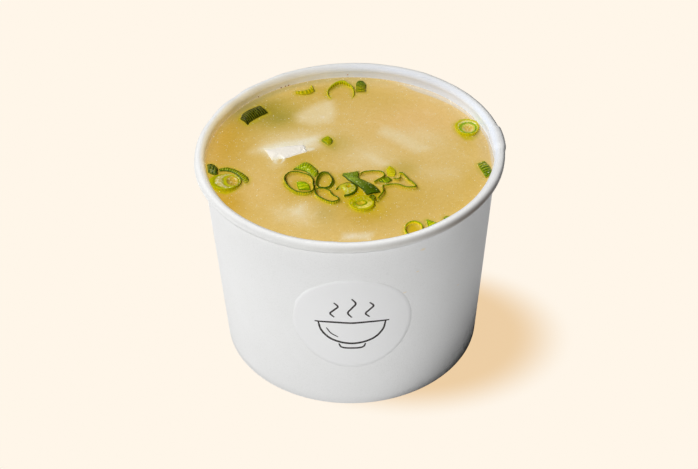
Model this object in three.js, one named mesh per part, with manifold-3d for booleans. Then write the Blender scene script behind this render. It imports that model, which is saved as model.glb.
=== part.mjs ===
// A paper cup of miso soup: a tapered cup with a rolled rim, a lapped side seam and a recessed
// bottom, nearly full of soup in which a piece of tofu and slices of scallion float.
// Units are millimetres, +Z is up, and the origin is the centre of the cup's foot.

import * as THREE from 'three';
import { mergeVertices } from 'three/addons/utils/BufferGeometryUtils.js';
import { RoundedBoxGeometry } from 'three/addons/geometries/RoundedBoxGeometry.js';
import Module from 'manifold-3d';

const wasm = await Module();
wasm.setup();

// ---- Driving dimensions ---------------------------------------------------------------

const rimRadius = 49.0; // outside of the rolled rim
const cupHeight = 71.6; // foot to the top of the rim
const footRadius = 42.0; // outside of the wall at the foot
const neckRadius = 46.3; // outside of the wall just under the roll
const rollRadius = 1.68; // half the thickness of the rolled rim
const board = 0.45; // thickness of the paper board
const gap = 0.3; // clearance between pieces that touch
const rimLean = { x: 0.0149, y: 0.0064 }; // rise of the rim for each millimetre across

const hemHeight = 5.5; // the wall is folded inwards and up to this height
const slotClearance = 0.25; // each side of the bottom's skirt inside the fold
const foldCorner = 0.3;
const recess = 6.2; // foot to the underside of the bottom

const seamAngle = THREE.MathUtils.degToRad(11.2); // where the outer flap of the seam ends
const seamWidth = 9; // overlap of the two flaps
const seamStep = 0.22; // how far the wall stands proud over the overlap
const seamEdge = 0.2; // run over which it steps up at the flap's end
const seamFade = 3.6; // run over which it falls back beyond the overlap

const soupLevel = 67.35;
const soupClearance = 0.35; // between soup and wall
const soupCorner = 1;

const labelRadius = 19;
const labelHeight = 36.4; // foot to the label's middle
const labelThickness = 0.15;
const labelRings = [0.35, 0.7, 1]; // shares of its radius

const leafTop = soupLevel + 0.8; // top edge of the rings that stand in the soup
const leafDepth = 2.2; // their height
const leafSkin = 0.42; // thickness of a leaf
const thinSkin = 0.36; // thickness of the opened strands
const leafCrown = 0.35; // how far a lying leaf arches
const resting = soupLevel + gap; // underside of the leaves that lie on the soup
const pocketReach = 1.5; // how far a pocket in the soup reaches above its piece

const sliceTop = soupLevel + 0.42; // face of the slices of white stem
const sliceDepth = 2;
const sliceFace = 0.93; // share of the radius at which the face rounds off
const sliceRound = 0.12; // drop of that rounding
const grooveWidth = 0.12; // share of the radius between the core and the outer leaf
const grooveDepth = 0.25;
const pitEdge = 0.55; // shares of the core at which its pit starts and is at its full depth
const pitFloor = 0.4;
const pitDepth = 0.5;

// Number of columns or steps of the round pieces.
const wallColumns = 57;
const bottomColumns = 48;
const soupColumns = 60;
const labelColumns = 28;
const sliceColumns = 20;
const rollSteps = 14;
const moonSteps = 14;
const holeSteps = 10;

// ---- Materials ------------------------------------------------------------------------

const finish = (color, roughness) => new THREE.MeshStandardMaterial({ color, roughness, metalness: 0 });
const cupPaper = finish(0xf1f1f0, 0.62);
const clearLabel = finish(0xf6f6f4, 0.35);
const broth = finish(0xdcb86c, 0.2);
const beanCurd = finish(0xefe6d4, 0.45);
const leafGreen = finish(0x5f8a12, 0.4);
const darkGreen = finish(0x2f4f12, 0.45);
const paleGreen = finish(0xb9c93a, 0.4);

// ---- Geometry helpers -----------------------------------------------------------------

// Merges a geometry's shared corners, drops triangles without area and turns its faces outwards.
function closedBody(geometry) {
  geometry.deleteAttribute('normal');
  geometry.deleteAttribute('uv');
  const merged = mergeVertices(geometry, 1e-4);
  const position = merged.getAttribute('position');
  const corners = merged.index ? Array.from(merged.index.array) : [...Array(position.count).keys()];
  const kept = [];
  let volume = 0;
  const [a, b, c] = [new THREE.Vector3(), new THREE.Vector3(), new THREE.Vector3()];
  for (let i = 0; i < corners.length; i += 3) {
    const [p, q, r] = corners.slice(i, i + 3);
    if (p === q || q === r || r === p) continue;
    kept.push([p, q, r]);
    a.fromBufferAttribute(position, p);
    b.fromBufferAttribute(position, q);
    c.fromBufferAttribute(position, r);
    volume += a.dot(b.cross(c));
  }
  const facing = volume < 0 ? kept.map(([p, q, r]) => [p, r, q]) : kept;
  merged.setIndex(facing.flat());
  return merged;
}

function toManifold(geometry) {
  const vertProperties = Float32Array.from(geometry.getAttribute('position').array);
  const triVerts = Uint32Array.from(geometry.index.array);
  return new wasm.Manifold(new wasm.Mesh({ numProp: 3, vertProperties, triVerts }));
}

function fromManifold(solid) {
  const { vertProperties, triVerts } = solid.getMesh();
  const geometry = new THREE.BufferGeometry();
  geometry.setAttribute('position', new THREE.BufferAttribute(vertProperties, 3));
  geometry.setIndex(new THREE.BufferAttribute(triVerts, 1));
  return geometry;
}

// Turns a profile of (radius, height) points about +Z, with a column at each angle. columnAt
// gives the column of one angle, with as many points as the profile.
function spin(profile, angles, columnAt = () => profile) {
  const geometry = new THREE.LatheGeometry(profile, angles.length);
  const position = geometry.getAttribute('position');
  for (let i = 0; i <= angles.length; i++) {
    const angle = angles[i % angles.length];
    columnAt(angle).forEach(({ x: r, y: z }, j) => {
      position.setXYZ(i * profile.length + j, r * Math.cos(angle), r * Math.sin(angle), z);
    });
  }
  return closedBody(geometry);
}

function evenAngles(count) {
  return Array.from({ length: count }, (_, i) => (i / count) * 2 * Math.PI);
}

const flatPoints = (pairs) => pairs.map(([x, y]) => new THREE.Vector3(x, y, 0));
const radiusHeight = (pairs) => pairs.map(([r, z]) => new THREE.Vector2(r, z));

// ---- Cup ------------------------------------------------------------------------------

const wallSlope = (neckRadius - footRadius) / (cupHeight - 2 * rollRadius);
const outerWall = (z) => footRadius + wallSlope * z;
const innerWall = (z) => outerWall(z) - board;
const foldOuter = (z) => innerWall(z) - board - 2 * slotClearance;
const foldInner = (z) => foldOuter(z) - board;
const roll = { r: rimRadius - rollRadius, z: cupHeight - rollRadius };

// The angle on the roll's circle at which a face of the wall runs into it from below.
function meetsRoll(face, size) {
  const away = (roll.r - face(roll.z)) / Math.hypot(1, wallSlope);
  return Math.PI - Math.atan(wallSlope) + Math.acos(away / size);
}

// The wall's section. Over the seam its faces and its roll stand proud.
function wallProfile(proud) {
  const outer = (z) => outerWall(z) + proud;
  const inner = (z) => innerWall(z) - (proud * z) / cupHeight;
  const size = rollRadius + proud;
  const start = meetsRoll(outer, size);
  const sweep = meetsRoll(inner, size) + 2 * Math.PI - start;
  const rolled = Array.from({ length: rollSteps + 1 }, (_, i) => {
    const angle = start + (i / rollSteps) * sweep;
    return [roll.r + size * Math.cos(angle), roll.z + size * Math.sin(angle)];
  });
  return radiusHeight([
    [foldInner(hemHeight), hemHeight],
    [foldInner(foldCorner), foldCorner],
    [foldInner(0) + foldCorner, 0],
    [outer(0) - foldCorner, 0],
    [outer(foldCorner), foldCorner],
    ...rolled,
    [inner(board), board],
    [foldOuter(board), board],
    [foldOuter(hemHeight), hemHeight],
    [foldInner(hemHeight), hemHeight],
  ]);
}

// The columns stand close together over the seam and are evenly spaced round the rest.
const seamSweep = seamWidth / rimRadius;
const seamEnd = (seamWidth + seamFade) / rimRadius;
const wallAngles = [0, seamEdge / rimRadius, seamSweep / 2, seamSweep].map((offset) => seamAngle - offset);
for (let i = 0; i < wallColumns; i++) {
  wallAngles.push(seamAngle - seamEnd - (i / wallColumns) * (2 * Math.PI - seamEnd));
}

function seamProud(angle) {
  const run = (seamAngle - angle) * rimRadius;
  return run > seamEdge / 2 && run < seamWidth + seamFade / 2 ? seamStep : 0;
}

function cupWall() {
  return spin(wallProfile(0), wallAngles, (angle) => {
    const column = wallProfile(seamProud(angle));
    for (const point of column) {
      const across = point.x * (rimLean.x * Math.cos(angle) + rimLean.y * Math.sin(angle));
      point.y += (across * point.y) / cupHeight;
    }
    return column;
  });
}

// A flat bottom with a skirt that hangs down into the wall's fold.
function cupBottom() {
  const skirtOuter = (z) => innerWall(z) - slotClearance;
  const skirtInner = (z) => skirtOuter(z) - board;
  const skirtEnd = board + gap;
  const top = recess + board;
  const profile = radiusHeight([
    [0, recess],
    [skirtInner(recess) - foldCorner, recess],
    [skirtInner(recess), recess - foldCorner],
    [skirtInner(skirtEnd), skirtEnd],
    [skirtOuter(skirtEnd), skirtEnd],
    [skirtOuter(recess), recess],
    [skirtOuter(top) - foldCorner, top],
    [0, top],
  ]);
  return spin(profile, evenAngles(bottomColumns));
}

// A round label, wrapped on the front of the tapered wall.
function wrappedLabel() {
  const radii = labelRings.map((share) => share * labelRadius);
  const under = radii.map((r) => [r, 0]);
  const over = radii.map((r) => [r, labelThickness]).reverse();
  const profile = radiusHeight([[0, 0], ...under, ...over, [0, labelThickness]]);
  const geometry = new THREE.LatheGeometry(profile, labelColumns);
  const position = geometry.getAttribute('position');
  for (let i = 0; i < position.count; i++) {
    const [side, proud, along] = [position.getX(i), position.getY(i), position.getZ(i)];
    const z = labelHeight + along;
    const r = outerWall(z) + gap + proud;
    const angle = side / outerWall(labelHeight) - Math.PI / 2;
    position.setXYZ(i, r * Math.cos(angle), r * Math.sin(angle), z);
  }
  return closedBody(geometry);
}

// ---- Garnish shapes: each takes a spec and how much to grow it for its pocket in the soup --

// Stands a shape up as a solid between two heights.
function standShape(shape, top, height, grow) {
  const above = grow > 0 ? pocketReach : 0;
  const geometry = new THREE.ExtrudeGeometry(shape, { depth: height + grow + above, bevelEnabled: false });
  geometry.translate(0, 0, top - height - grow);
  return geometry;
}

// A thin wall that stands in the soup along a curve: a ring of leaf, whose points run
// counterclockwise, or a cut and opened one.
function standingWall(spec, grow = 0) {
  const { through, open = false, steps, top = leafTop, height = leafDepth, tilt } = spec;
  const half = (spec.thickness ?? leafSkin) / 2 + grow;
  const curve = new THREE.CatmullRomCurve3(flatPoints(through), !open, 'centripetal');
  const count = open ? steps + 1 : steps;
  const [left, right] = [[], []];
  for (let i = 0; i < count; i++) {
    const at = curve.getPointAt(i / steps);
    const along = curve.getTangentAt(i / steps);
    const end = open ? (i === steps) - (i === 0) : 0;
    at.addScaledVector(along, end * grow);
    left.push(new THREE.Vector2(at.x - along.y * half, at.y + along.x * half));
    right.push(new THREE.Vector2(at.x + along.y * half, at.y - along.x * half));
  }
  const shape = new THREE.Shape(open ? [...left, ...right.reverse()] : right);
  if (!open) shape.holes.push(new THREE.Path(left));
  const geometry = standShape(shape, top, height, grow);
  if (tilt) tiltAbout(geometry, tilt, top);
  return closedBody(geometry);
}

// Leans a standing piece about a level line through a point, so that one side rises.
function tiltAbout(geometry, { at: [x, y], degrees, heading }, top) {
  const turn = THREE.MathUtils.degToRad(heading);
  const axis = new THREE.Vector3(Math.cos(turn), Math.sin(turn), 0);
  const lean = new THREE.Matrix4().makeRotationAxis(axis, THREE.MathUtils.degToRad(degrees));
  geometry.translate(-x, -y, -top);
  geometry.applyMatrix4(lean);
  geometry.translate(x, y, top);
}

// A chip or strip of leaf that lies on the soup: it follows a spine, with a width at each of
// the spine's points, and is arched across.
function lyingLeaf({ spine, widths, crown = leafCrown, steps = 5 }) {
  const curve = new THREE.CatmullRomCurve3(flatPoints(spine), false, 'centripetal');
  const widthAt = (u) => {
    const place = u * (widths.length - 1);
    const before = Math.min(Math.floor(place), widths.length - 2);
    return THREE.MathUtils.lerp(widths[before], widths[before + 1], place - before);
  };
  const geometry = new THREE.BoxGeometry(1, 1, 1, steps, 2, 1);
  const position = geometry.getAttribute('position');
  for (let i = 0; i < position.count; i++) {
    const u = position.getX(i) + 0.5;
    const across = position.getY(i);
    const at = curve.getPoint(u);
    const along = curve.getTangent(u);
    const side = across * widthAt(u);
    const arch = crown * (1 - 4 * across * across);
    const z = resting + arch + leafSkin * (position.getZ(i) + 0.5);
    position.setXYZ(i, at.x - along.y * side, at.y + along.x * side, z);
  }
  return closedBody(geometry);
}

// A slice of white stem: a pit and a groove mark its inner leaves, whose middle may lie off
// the slice's own.
function stemSlice({ at, radii, core, coreShift = [0, 0], turn = 0 }, grow = 0) {
  const under = -sliceDepth - grow;
  const pocket = [[0, under], [1, under], [1, pocketReach], [0, pocketReach]];
  const slice = [
    [0, under],
    [1, under],
    [1, -sliceRound],
    [sliceFace, 0],
    [core + grooveWidth, 0],
    [core + grooveWidth / 2, -grooveDepth],
    [core, 0],
    [core * pitEdge, 0],
    [core * pitFloor, -pitDepth],
    [0, -pitDepth],
  ];
  const heading = THREE.MathUtils.degToRad(turn);
  const geometry = spin(radiusHeight(grow > 0 ? pocket : slice), evenAngles(sliceColumns));
  const position = geometry.getAttribute('position');
  for (let i = 0; i < position.count; i++) {
    const [x, y, z] = [position.getX(i), position.getY(i), position.getZ(i)];
    const inward = 1 - Math.min(1, Math.hypot(x, y));
    const long = x * (radii[0] + grow) + coreShift[0] * inward;
    const wide = y * (radii[1] + grow) + coreShift[1] * inward;
    const east = at[0] + long * Math.cos(heading) - wide * Math.sin(heading);
    const north = at[1] + long * Math.sin(heading) + wide * Math.cos(heading);
    position.setXYZ(i, east, north, sliceTop + z);
  }
  return closedBody(geometry);
}

// A thick slice cut off along one side, with a round hole through it.
function halfMoon({ rim, hole, top, height }, grow = 0) {
  const curve = new THREE.CatmullRomCurve3(flatPoints(rim), false, 'centripetal');
  const middle = new THREE.Vector3();
  rim.forEach(([x, y]) => middle.add(new THREE.Vector3(x, y, 0).divideScalar(rim.length)));
  const outline = curve.getSpacedPoints(moonSteps).map((point) => {
    const outwards = point.clone().sub(middle).setLength(grow);
    return new THREE.Vector2(point.x + outwards.x, point.y + outwards.y);
  });
  const shape = new THREE.Shape(outline);
  if (grow === 0) {
    const path = new THREE.Path().absellipse(...hole.at, ...hole.radii, 0, 2 * Math.PI, true);
    shape.holes.push(new THREE.Path(path.getSpacedPoints(holeSteps).slice(0, holeSteps)));
  }
  return closedBody(standShape(shape, top, height, grow));
}

// ---- Garnish: where each piece of scallion floats -----------------------------------------

const standing = {
  scallion_ring_oval: {
    through: [
      [-20.3, -11.7], [-17.9, -16.6], [-15.5, -18.2], [-13.2, -18.5], [-11.5, -17.1],
      [-11.4, -14.1], [-12.0, -10.3], [-13.8, -8.3], [-16.9, -7.6], [-19.6, -8.8],
    ],
    steps: 28,
  },
  scallion_ring_tube: {
    through: [
      [-9.7, -10.9], [-9.3, -13.9], [-7.2, -15.4], [-5.8, -14.2],
      [-5.8, -11.3], [-6.8, -8.7], [-8.6, -8.7],
    ],
    steps: 20,
  },
  scallion_ring_bean: {
    through: [
      [-10.4, -17.0], [-10.2, -19.0], [-8.1, -21.6], [-5.3, -23.1], [-3.5, -21.5],
      [-4.2, -20.3], [-5.8, -18.9], [-6.8, -16.8], [-8.9, -16.5],
    ],
    steps: 26,
  },
  scallion_loop: {
    through: [
      [3.6, -8.9], [4.6, -8.2], [7.1, -7.4], [9.4, -8.1],
      [10.6, -9.4], [9.9, -10.6], [8.5, -11.9], [7.1, -13.4],
    ],
    open: true,
    steps: 14,
    thickness: thinSkin,
  },
  scallion_arc: {
    through: [[14.0, -11.9], [14.9, -12.1], [15.7, -11.2]],
    open: true,
    steps: 4,
    thickness: thinSkin,
  },
  scallion_strand: {
    through: [
      [15.6, -9.2], [16.5, -9.4], [17.4, -11.3], [19.7, -14.2], [20.3, -15.7], [19.5, -16.5],
      [16.3, -15.6], [13.5, -14.8], [10.9, -15.1], [10.1, -16.0], [10.3, -17.9], [8.7, -21.2],
    ],
    open: true,
    steps: 26,
    thickness: thinSkin,
  },
  scallion_ring_back: {
    through: [
      [-6.9, 36.4], [-5.7, 32.9], [-2.4, 30.8], [0.9, 32.8],
      [1.9, 36.4], [0.9, 40.0], [-2.4, 42.4], [-5.9, 39.6],
    ],
    steps: 24,
    thickness: 0.6,
    top: soupLevel + 0.72,
    tilt: { at: [-2.5, 36.6], degrees: 5.5, heading: 0 },
  },
  scallion_ring_front: {
    through: [
      [16.3, -37.0], [17.0, -39.6], [18.8, -40.5], [20.6, -39.7],
      [21.5, -37.0], [21.1, -34.6], [19.3, -33.1], [17.2, -34.3],
    ],
    steps: 20,
    thickness: 0.5,
  },
};

const slices = {
  scallion_bulb_middle: { at: [3.6, -23.8], radii: [3.9, 3.8], core: 0.48, coreShift: [-0.4, 0.1] },
  scallion_bulb_left: { at: [-38.7, -11.7], radii: [5.0, 4.1], core: 0.4, coreShift: [1.9, 0.1], turn: -6 },
  scallion_bulb_right: { at: [38.4, 15.2], radii: [3.9, 4.8], core: 0.62 },
};

const moon = {
  rim: [[-1.7, -20.2], [1.0, -18.8], [1.9, -16.4], [1.0, -14.5], [-1.0, -13.7], [-3.2, -14.8], [-4.2, -16.6]],
  hole: { at: [-0.4, -16.0], radii: [0.9, 0.8] },
  top: soupLevel + 0.62,
  height: 1.8,
};

const lying = {
  scallion_chip_ring: {
    spine: [[-14.4, -12.3], [-14.3, -14.4], [-14.2, -16.4]],
    widths: [2.6, 3.4, 3.4],
  },
  scallion_crescent: {
    spine: [[-17.3, -5.8], [-14.3, -4.3], [-11.9, -5.8], [-10.7, -8.6]],
    widths: [0.4, 3.4, 3.2, 1.5],
    steps: 8,
    crown: 0.5,
  },
  scallion_ribbon: {
    spine: [[-0.9, -10.0], [2.2, -11.3], [5.0, -15.0], [7.1, -18.7]],
    widths: [2.2, 3.0, 3.0, 3.4],
    steps: 8,
    crown: 0.5,
  },
  scallion_ribbon_fold: {
    spine: [[-2.0, -8.9], [0.2, -8.3], [2.3, -8.3]],
    widths: [0.5, 0.9, 1.0],
    steps: 3,
    crown: 0.2,
  },
  scallion_chip_pale: {
    spine: [[12.4, -5.6], [12.9, -7.4], [13.2, -9.2]],
    widths: [1.6, 2.5, 1.6],
    crown: 0.25,
  },
  scallion_chip_middle: {
    spine: [[9.4, -12.8], [11.4, -11.9], [13.2, -11.3]],
    widths: [0.5, 2.9, 0.9],
    crown: 0.3,
  },
  scallion_barrel: {
    spine: [[-43.0, -2.9], [-42.8, -5.2], [-42.9, -7.5]],
    widths: [2.4, 3.4, 2.6],
    crown: 0.8,
  },
  scallion_strip_left: {
    spine: [[-40.3, -5.6], [-38.1, -5.7], [-35.5, -7.4], [-33.5, -9.3], [-31.7, -11.7]],
    widths: [0.9, 1.3, 1.6, 1.9, 1.5],
    steps: 8,
  },
  scallion_leaf_dark: {
    spine: [[-34.2, 20.2], [-31.2, 24.0], [-28.0, 26.6]],
    widths: [4.4, 5.6, 4.8],
    steps: 6,
    crown: 0.9,
  },
  scallion_crescent_back: {
    spine: [[-17.5, 36.7], [-15.2, 36.8], [-13.1, 37.5], [-12.1, 40.6]],
    widths: [0.9, 1.7, 1.9, 0.5],
    steps: 7,
  },
  scallion_chip_back: {
    spine: [[4.2, 42.3], [4.2, 39.6], [3.9, 36.8]],
    widths: [1.8, 3.1, 3.0],
    crown: 0.6,
  },
  scallion_chip_centre: {
    spine: [[-6.1, 11.0], [-7.0, 9.2], [-7.8, 7.4]],
    widths: [1.7, 3.6, 2.2],
    crown: 0.3,
  },
  scallion_strip_right: {
    spine: [[41.3, -3.8], [42.6, -6.8], [43.1, -11.0]],
    widths: [1.9, 2.2, 1.6],
    crown: 0.5,
  },
  scallion_chip_front: {
    spine: [[23.1, -32.8], [24.4, -34.6], [25.2, -36.5]],
    widths: [0.4, 2.4, 1.9],
    steps: 4,
  },
  scallion_chip_rim: {
    spine: [[28.9, -31.9], [29.8, -32.7]],
    widths: [0.9, 1.6],
    steps: 3,
    crown: 0.2,
  },
};

// A curl that rests on the middle slice.
const curl = {
  through: [[5.5, -21.2], [6.7, -20.9], [7.5, -21.8], [6.9, -22.8]],
  open: true,
  steps: 8,
  thickness: thinSkin,
  top: sliceTop + gap + 0.8,
  height: 0.8,
};

const darkPieces = ['scallion_ribbon', 'scallion_ribbon_fold', 'scallion_barrel', 'scallion_leaf_dark'];
const palePieces = ['scallion_chip_pale', 'scallion_chip_ring', 'scallion_crescent_back'];

function leafFinish(name) {
  if (darkPieces.includes(name)) return darkGreen;
  return palePieces.includes(name) ? paleGreen : leafGreen;
}

// ---- Tofu -----------------------------------------------------------------------------

// The block floats tilted: its near top edge stands just out of the soup, the far side is sunk.
const tofu = {
  size: [12.6, 11, 9],
  nearEdge: [-18.9, 1.9], // middle of the top edge that stands out
  heading: 23.7, // degrees, the way that edge runs
  standsOut: 0.55,
  lean: 6.3, // degrees
  rounding: 0.5,
};

function placeTofu(geometry) {
  geometry.translate(0, tofu.size[1] / 2, -tofu.size[2] / 2);
  geometry.rotateX(THREE.MathUtils.degToRad(-tofu.lean));
  geometry.rotateZ(THREE.MathUtils.degToRad(tofu.heading));
  geometry.translate(...tofu.nearEdge, soupLevel + tofu.standsOut);
  return closedBody(geometry);
}

function tofuBlock() {
  return placeTofu(new RoundedBoxGeometry(...tofu.size, 1, tofu.rounding));
}

function tofuPocket() {
  const [long, deep, tall] = tofu.size.map((side) => side + 2 * gap);
  const box = new THREE.BoxGeometry(long, deep, tall + pocketReach);
  return placeTofu(box.translate(0, 0, pocketReach / 2));
}

// ---- Soup -----------------------------------------------------------------------------

// The soup is solid up to its level, with a pocket round each piece that stands in it.
function soupBody() {
  const floor = recess + board + gap;
  const edge = (z) => innerWall(z) - soupClearance;
  const profile = radiusHeight([
    [0, floor],
    [edge(floor) - soupCorner, floor],
    [edge(floor + soupCorner), floor + soupCorner],
    [edge(soupLevel), soupLevel],
    [0, soupLevel],
  ]);
  const pockets = [
    ...Object.values(standing).map((spec) => standingWall(spec, gap)),
    ...Object.values(slices).map((spec) => stemSlice(spec, gap)),
    halfMoon(moon, gap),
    tofuPocket(),
  ];
  let soup = toManifold(spin(profile, evenAngles(soupColumns)));
  for (const pocket of pockets) soup = soup.subtract(toManifold(pocket));
  return fromManifold(soup);
}

// ---- Assembly -------------------------------------------------------------------------

function named(name, geometry, material) {
  const mesh = new THREE.Mesh(geometry, material);
  mesh.name = name;
  return mesh;
}

const cup = new THREE.Group();
cup.add(named('cup_wall', cupWall(), cupPaper));
cup.add(named('cup_bottom', cupBottom(), cupPaper));
cup.add(named('label', wrappedLabel(), clearLabel));

const contents = new THREE.Group();
contents.add(named('soup', soupBody(), broth));
contents.add(named('tofu', tofuBlock(), beanCurd));
for (const [name, spec] of Object.entries(standing)) {
  contents.add(named(name, standingWall(spec), leafGreen));
}
for (const [name, spec] of Object.entries(slices)) {
  contents.add(named(name, stemSlice(spec), paleGreen));
}
for (const [name, spec] of Object.entries(lying)) {
  contents.add(named(name, lyingLeaf(spec), leafFinish(name)));
}
contents.add(named('scallion_half_moon', halfMoon(moon), leafGreen));
contents.add(named('scallion_curl', standingWall(curl), leafGreen));

const misoSoup = new THREE.Group();
misoSoup.add(cup, contents);

export default misoSoup;
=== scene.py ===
# The looks of a paper cup of miso soup: cup, label, soup, tofu and scallion, on a pale floor.
# Shapes are worked out in millimetres and scaled to metres when a piece is finished.

import math

import bmesh
import bpy
import numpy as np
from mathutils import Matrix, Vector, kdtree, noise


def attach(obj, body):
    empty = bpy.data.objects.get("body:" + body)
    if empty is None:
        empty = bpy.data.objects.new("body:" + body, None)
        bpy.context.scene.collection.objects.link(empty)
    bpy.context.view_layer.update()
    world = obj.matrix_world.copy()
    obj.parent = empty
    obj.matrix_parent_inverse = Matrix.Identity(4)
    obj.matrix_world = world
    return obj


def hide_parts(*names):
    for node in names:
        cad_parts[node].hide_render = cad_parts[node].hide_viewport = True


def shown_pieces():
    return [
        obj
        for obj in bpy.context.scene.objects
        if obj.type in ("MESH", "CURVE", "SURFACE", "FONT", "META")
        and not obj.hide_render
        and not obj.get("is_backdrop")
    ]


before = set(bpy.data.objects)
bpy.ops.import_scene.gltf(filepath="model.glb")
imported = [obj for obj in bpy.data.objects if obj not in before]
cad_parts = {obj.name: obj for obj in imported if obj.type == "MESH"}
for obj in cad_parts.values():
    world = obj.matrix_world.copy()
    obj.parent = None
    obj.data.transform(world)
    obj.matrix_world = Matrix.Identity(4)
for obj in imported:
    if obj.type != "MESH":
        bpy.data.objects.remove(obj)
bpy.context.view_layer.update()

scene = bpy.context.scene
MM = 0.001
FULL_TURN = 2 * math.pi

# ---- Sizes of the cup and its contents, in millimetres, as in the part's source ----

RIM_RADIUS = 49.0
CUP_HEIGHT = 71.6
FOOT_RADIUS = 42.0
NECK_RADIUS = 46.3
ROLL_RADIUS = 1.68
BOARD = 0.45
RIM_LEAN = (0.0149, 0.0064)
HEM_HEIGHT = 5.5
SLOT_CLEARANCE = 0.25
FOLD_CORNER = 0.3
RECESS = 6.2
SEAM_ANGLE = math.radians(11.2)
SEAM_WIDTH = 9
SEAM_STEP = 0.22
SEAM_EDGE = 0.2
SEAM_FADE = 3.6
SOUP_LEVEL = 67.35
LABEL_RADIUS = 19
LABEL_HEIGHT = 36.4
LEAF_DEPTH = 2.2
LEAF_SKIN = 0.42
THIN_SKIN = 0.3
GAP = 0.3  # room between parts that are close but don't touch
SLICE_TOP = SOUP_LEVEL + 0.42
SLICE_DEPTH = 2.0
WALL_TOP = SOUP_LEVEL + 0.95

WALL_SLOPE = (NECK_RADIUS - FOOT_RADIUS) / (CUP_HEIGHT - 2 * ROLL_RADIUS)
ROLL_CENTRE = (RIM_RADIUS - ROLL_RADIUS, CUP_HEIGHT - ROLL_RADIUS)


def outer_wall(z):
    return FOOT_RADIUS + WALL_SLOPE * z


def inner_wall(z):
    return outer_wall(z) - BOARD


def rim_lift(x, y, z):
    """How much higher a point of the wall is, as the rim leans a little."""
    return (RIM_LEAN[0] * x + RIM_LEAN[1] * y) * z / CUP_HEIGHT


def fold_outer(z):
    return inner_wall(z) - BOARD - 2 * SLOT_CLEARANCE


def fold_inner(z):
    return fold_outer(z) - BOARD


# ---- Small helpers ----


def smooth(value, low, high):
    """0 below low, 1 above high and an S-curve between. It takes numbers and arrays."""
    share = np.clip((value - low) / (high - low), 0, 1)
    return share * share * (3 - 2 * share)


def mix(a, b, share):
    return a + (b - a) * share


def linear(rgb):
    """A colour given as three numbers to 255 as the linear colour that a shader takes."""
    shares = [c / 255 for c in rgb]
    return [s / 12.92 if s <= 0.04045 else ((s + 0.055) / 1.055) ** 2.4 for s in shares]


LIGHT_LEVEL = 0.86
PATH_CUTS = 40  # fine steps between two points that a curve goes through


def pigment(*rgb):
    """The base colour of a surface that looks like rgb, to 255, under the studio's light."""
    return tuple(min(c / LIGHT_LEVEL, 0.96) for c in linear(rgb)) + (1,)


def smooth_path(points, count, closed=False):
    """Even steps on a centripetal curve through the given points: where each is, the direction to
    its left, and how far along the curve it lies."""
    given = np.array(points, float)
    if closed:
        ring = np.vstack([given[-1:], given, given[:2]])
    else:
        ring = np.vstack([2 * given[0] - given[1], given, 2 * given[-1] - given[-2]])
    dense = []
    for i in range(len(ring) - 3):
        level = list(ring[i : i + 4])
        gaps = np.linalg.norm(np.diff(level, axis=0), axis=1)
        knots = np.concatenate([[0], np.cumsum(np.sqrt(gaps))])
        t = knots[1] + (knots[2] - knots[1]) * np.arange(PATH_CUTS)[:, None] / PATH_CUTS
        for spans in ([(0, 1), (1, 2), (2, 3)], [(0, 2), (1, 3)], [(1, 2)]):
            level = [
                ((knots[b] - t) * level[j] + (t - knots[a]) * level[j + 1]) / (knots[b] - knots[a])
                for j, (a, b) in enumerate(spans)
            ]
        dense.append(level[0])
    dense.append(given[:1] if closed else given[-1:])
    dense = np.vstack(dense)
    gone = np.concatenate([[0], np.cumsum(np.linalg.norm(np.diff(dense, axis=0), axis=1))])
    wanted = np.linspace(0, 1, count + 1) * gone[-1]
    at = np.stack([np.interp(wanted, gone, dense[:, k]) for k in (0, 1)], axis=1)
    ahead, behind = wanted + 1e-3 * gone[-1], wanted - 1e-3 * gone[-1]
    if closed:
        ahead, behind = ahead % gone[-1], behind % gone[-1]
    else:
        ahead, behind = np.minimum(ahead, gone[-1]), np.maximum(behind, 0)
    run = [np.interp(ahead, gone, dense[:, k]) - np.interp(behind, gone, dense[:, k]) for k in (0, 1)]
    size = np.hypot(*run)
    left = np.stack([-run[1] / size, run[0] / size], axis=1)
    return at, left, wanted


def line_distance(x, y, points):
    """Distance from points to a line through the given ones. x and y are arrays."""
    best = np.full(np.shape(x), 1e9)
    for (ax, ay), (bx, by) in zip(points, points[1:]):
        run_x, run_y = bx - ax, by - ay
        length = max(run_x**2 + run_y**2, 1e-9)
        share = np.clip(((x - ax) * run_x + (y - ay) * run_y) / length, 0, 1)
        best = np.minimum(best, np.hypot(x - ax - share * run_x, y - ay - share * run_y))
    return best


def outline_distance(x, y, outline):
    """Distance from points to an outline, positive inside it. x and y are arrays."""
    corners = [tuple(p) for p in outline]
    inside = np.zeros(np.shape(x), bool)
    for (ax, ay), (bx, by) in zip(corners, corners[1:] + corners[:1]):
        crosses = (ay > y) != (by > y)
        run_y = by - ay if by != ay else 1e-9
        inside ^= crosses & (x < ax + (y - ay) * (bx - ax) / run_y)
    away = line_distance(x, y, corners + corners[:1])
    return np.where(inside, away, -away)


def soft_patch(x, y, middle, reach, turn=0):
    """1 in the middle of a soft oval patch, fading away all round."""
    heading = math.radians(turn)
    east, north = x - middle[0], y - middle[1]
    long = (east * math.cos(heading) + north * math.sin(heading)) / reach[0]
    wide = (north * math.cos(heading) - east * math.sin(heading)) / reach[1]
    return np.exp(-(long**2) - wide**2)


def finish_piece(name, bm, finish, stands_for=(), crease=40):
    """Makes a finished shape in millimetres a piece of the part, in metres."""
    bmesh.ops.scale(bm, vec=(MM, MM, MM), verts=bm.verts)
    mesh = bpy.data.meshes.new(name)
    bm.to_mesh(mesh)
    bm.free()
    mesh.materials.append(finishes[finish])
    mesh.polygons.foreach_set("use_smooth", [True] * len(mesh.polygons))
    mesh.set_sharp_from_angle(angle=math.radians(crease))
    piece = bpy.data.objects.new(name, mesh)
    scene.collection.objects.link(piece)
    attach(piece, "root")
    if stands_for:
        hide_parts(*stands_for)


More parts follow.
